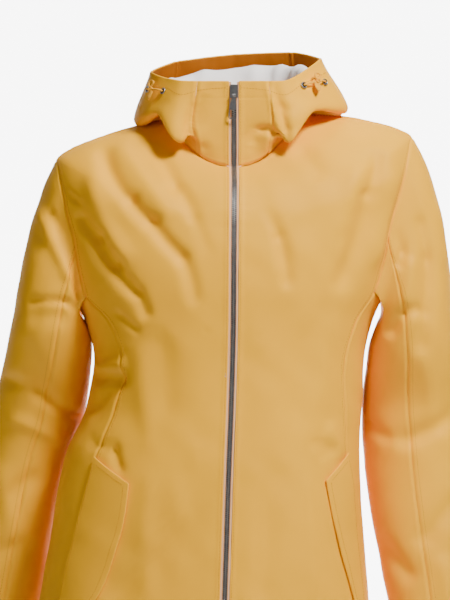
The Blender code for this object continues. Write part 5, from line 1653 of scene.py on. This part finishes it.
# piece                width  length  area of the cut, in metres and square metres
CUTS = (
    ("front_left", 0.250, 0.815, 0.123), ("front_right", 0.258, 0.816, 0.121),
    ("side_left", 0.178, 0.502, 0.079), ("side_right", 0.150, 0.488, 0.067),
    ("back", 0.566, 0.842, 0.286),
    ("sleeve_upper_left", 0.276, 0.624, 0.114), ("sleeve_upper_right", 0.306, 0.636, 0.126),
    ("sleeve_under_left", 0.236, 0.522, 0.076), ("sleeve_under_right", 0.246, 0.525, 0.080),
    ("pocket_flap_left", 0.066, 0.188, 0.0108), ("pocket_flap_right", 0.057, 0.185, 0.0075),
    ("collar_front_left", 0.045, 0.097, 0.0036), ("collar_front_right", 0.043, 0.097, 0.0034),
    ("hood_side_left", 0.353, 0.368, 0.0410), ("hood_side_right", 0.370, 0.378, 0.0475),
    ("hood_centre", 0.186, 0.444, 0.056), ("hood_lining", 0.186, 0.755, 0.055),
)
for each_name, width, length, area in CUTS:
    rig.sheet(made[each_name], flat=(width, length), held="hung", area=area)


# ---------------------------------------------------------------- floor and light

FLOOR_Z, WALL_Y, SWEEP = -1.45, 3.0, 0.8
GLOW = 2.4                  # radius of the bright part of the wall


def stage():
    """A pale sweep that glows, brightest behind the garment: a painted pool of light, as a studio wall lit by its own
    lamps.
    """
    made, shader = shader_of("backdrop", (0.90, 0.90, 0.91), 0.9)
    where = added(made, "ShaderNodeTexCoord")
    mapping = added(made, "ShaderNodeMapping")
    mapping.inputs["Location"].default_value = (0.0, -WALL_Y / GLOW, 0.2 / GLOW)
    mapping.inputs["Scale"].default_value = (1.0 / GLOW, 1.0 / GLOW, 1.0 / GLOW)
    gradient = added(made, "ShaderNodeTexGradient", gradient_type="QUADRATIC_SPHERE")
    ramp = added(made, "ShaderNodeValToRGB")
    ramp.color_ramp.elements[0].position = 0.0
    ramp.color_ramp.elements[1].position = 0.55
    linked(made, where, "Object", mapping, "Vector")
    linked(made, mapping, "Vector", gradient, "Vector")
    linked(made, gradient, "Fac", ramp, "Fac")
    # The wall glows in a round pool behind the garment: painted light, which also lights the garment.
    linked(made, ramp, "Color", shader, "Emission Color")
    shader.inputs["Emission Strength"].default_value = 7.0
    profile = [(-9.0, FLOOR_Z)]
    for k in range(13):
        turn = math.radians(90.0 * k / 12.0)
        profile.append((WALL_Y - SWEEP + SWEEP * math.sin(turn),
                        FLOOR_Z + SWEEP * (1.0 - math.cos(turn))))
    profile.append((WALL_Y, 5.0))
    points = [(x, y, z) for x in (-6.0, 6.0) for y, z in profile]
    count = len(profile)
    faces = [(k, k + 1, count + k + 1, count + k) for k in range(count - 1)]
    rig.stage(mesh_object("backdrop", points, faces, made))


def area_light(name, place, target, size, power, color):
    light = bpy.data.lights.new(name, "AREA")
    light.shape = "RECTANGLE"
    light.size, light.size_y = size
    light.energy = power
    light.color = color
    obj = bpy.data.objects.new(name, light)
    bpy.context.scene.collection.objects.link(obj)
    obj.location = place
    aim = Vector(target) - Vector(place)
    obj.rotation_euler = aim.to_track_quat("-Z", "Y").to_euler()
    return obj


stage()
area_light("key", (1.1, -1.5, 1.75), (0.0, 0.0, -0.12), (0.55, 0.55), 128.0, (1.0, 0.985, 0.96))
area_light("fill", (-2.2, -3.8, 0.4), (0.0, 0.0, -0.3), (2.0, 2.0), 20.0, (0.98, 0.99, 1.0))
area_light("top", (0.2, 0.9, 2.6), (0.0, 0.0, 0.0), (1.2, 1.2), 24.0, (1.0, 1.0, 1.0))
world = bpy.data.worlds.new("studio")
bpy.context.scene.world = world
world.use_nodes = True
world.node_tree.nodes["Background"].inputs["Color"].default_value = (0.95, 0.96, 1.0, 1.0)
world.node_tree.nodes["Background"].inputs["Strength"].default_value = 0.09
with open("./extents.json", "w") as file:
    json.dump({"start": start_bounds, "end": [list(corner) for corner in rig.bounds()]}, file)
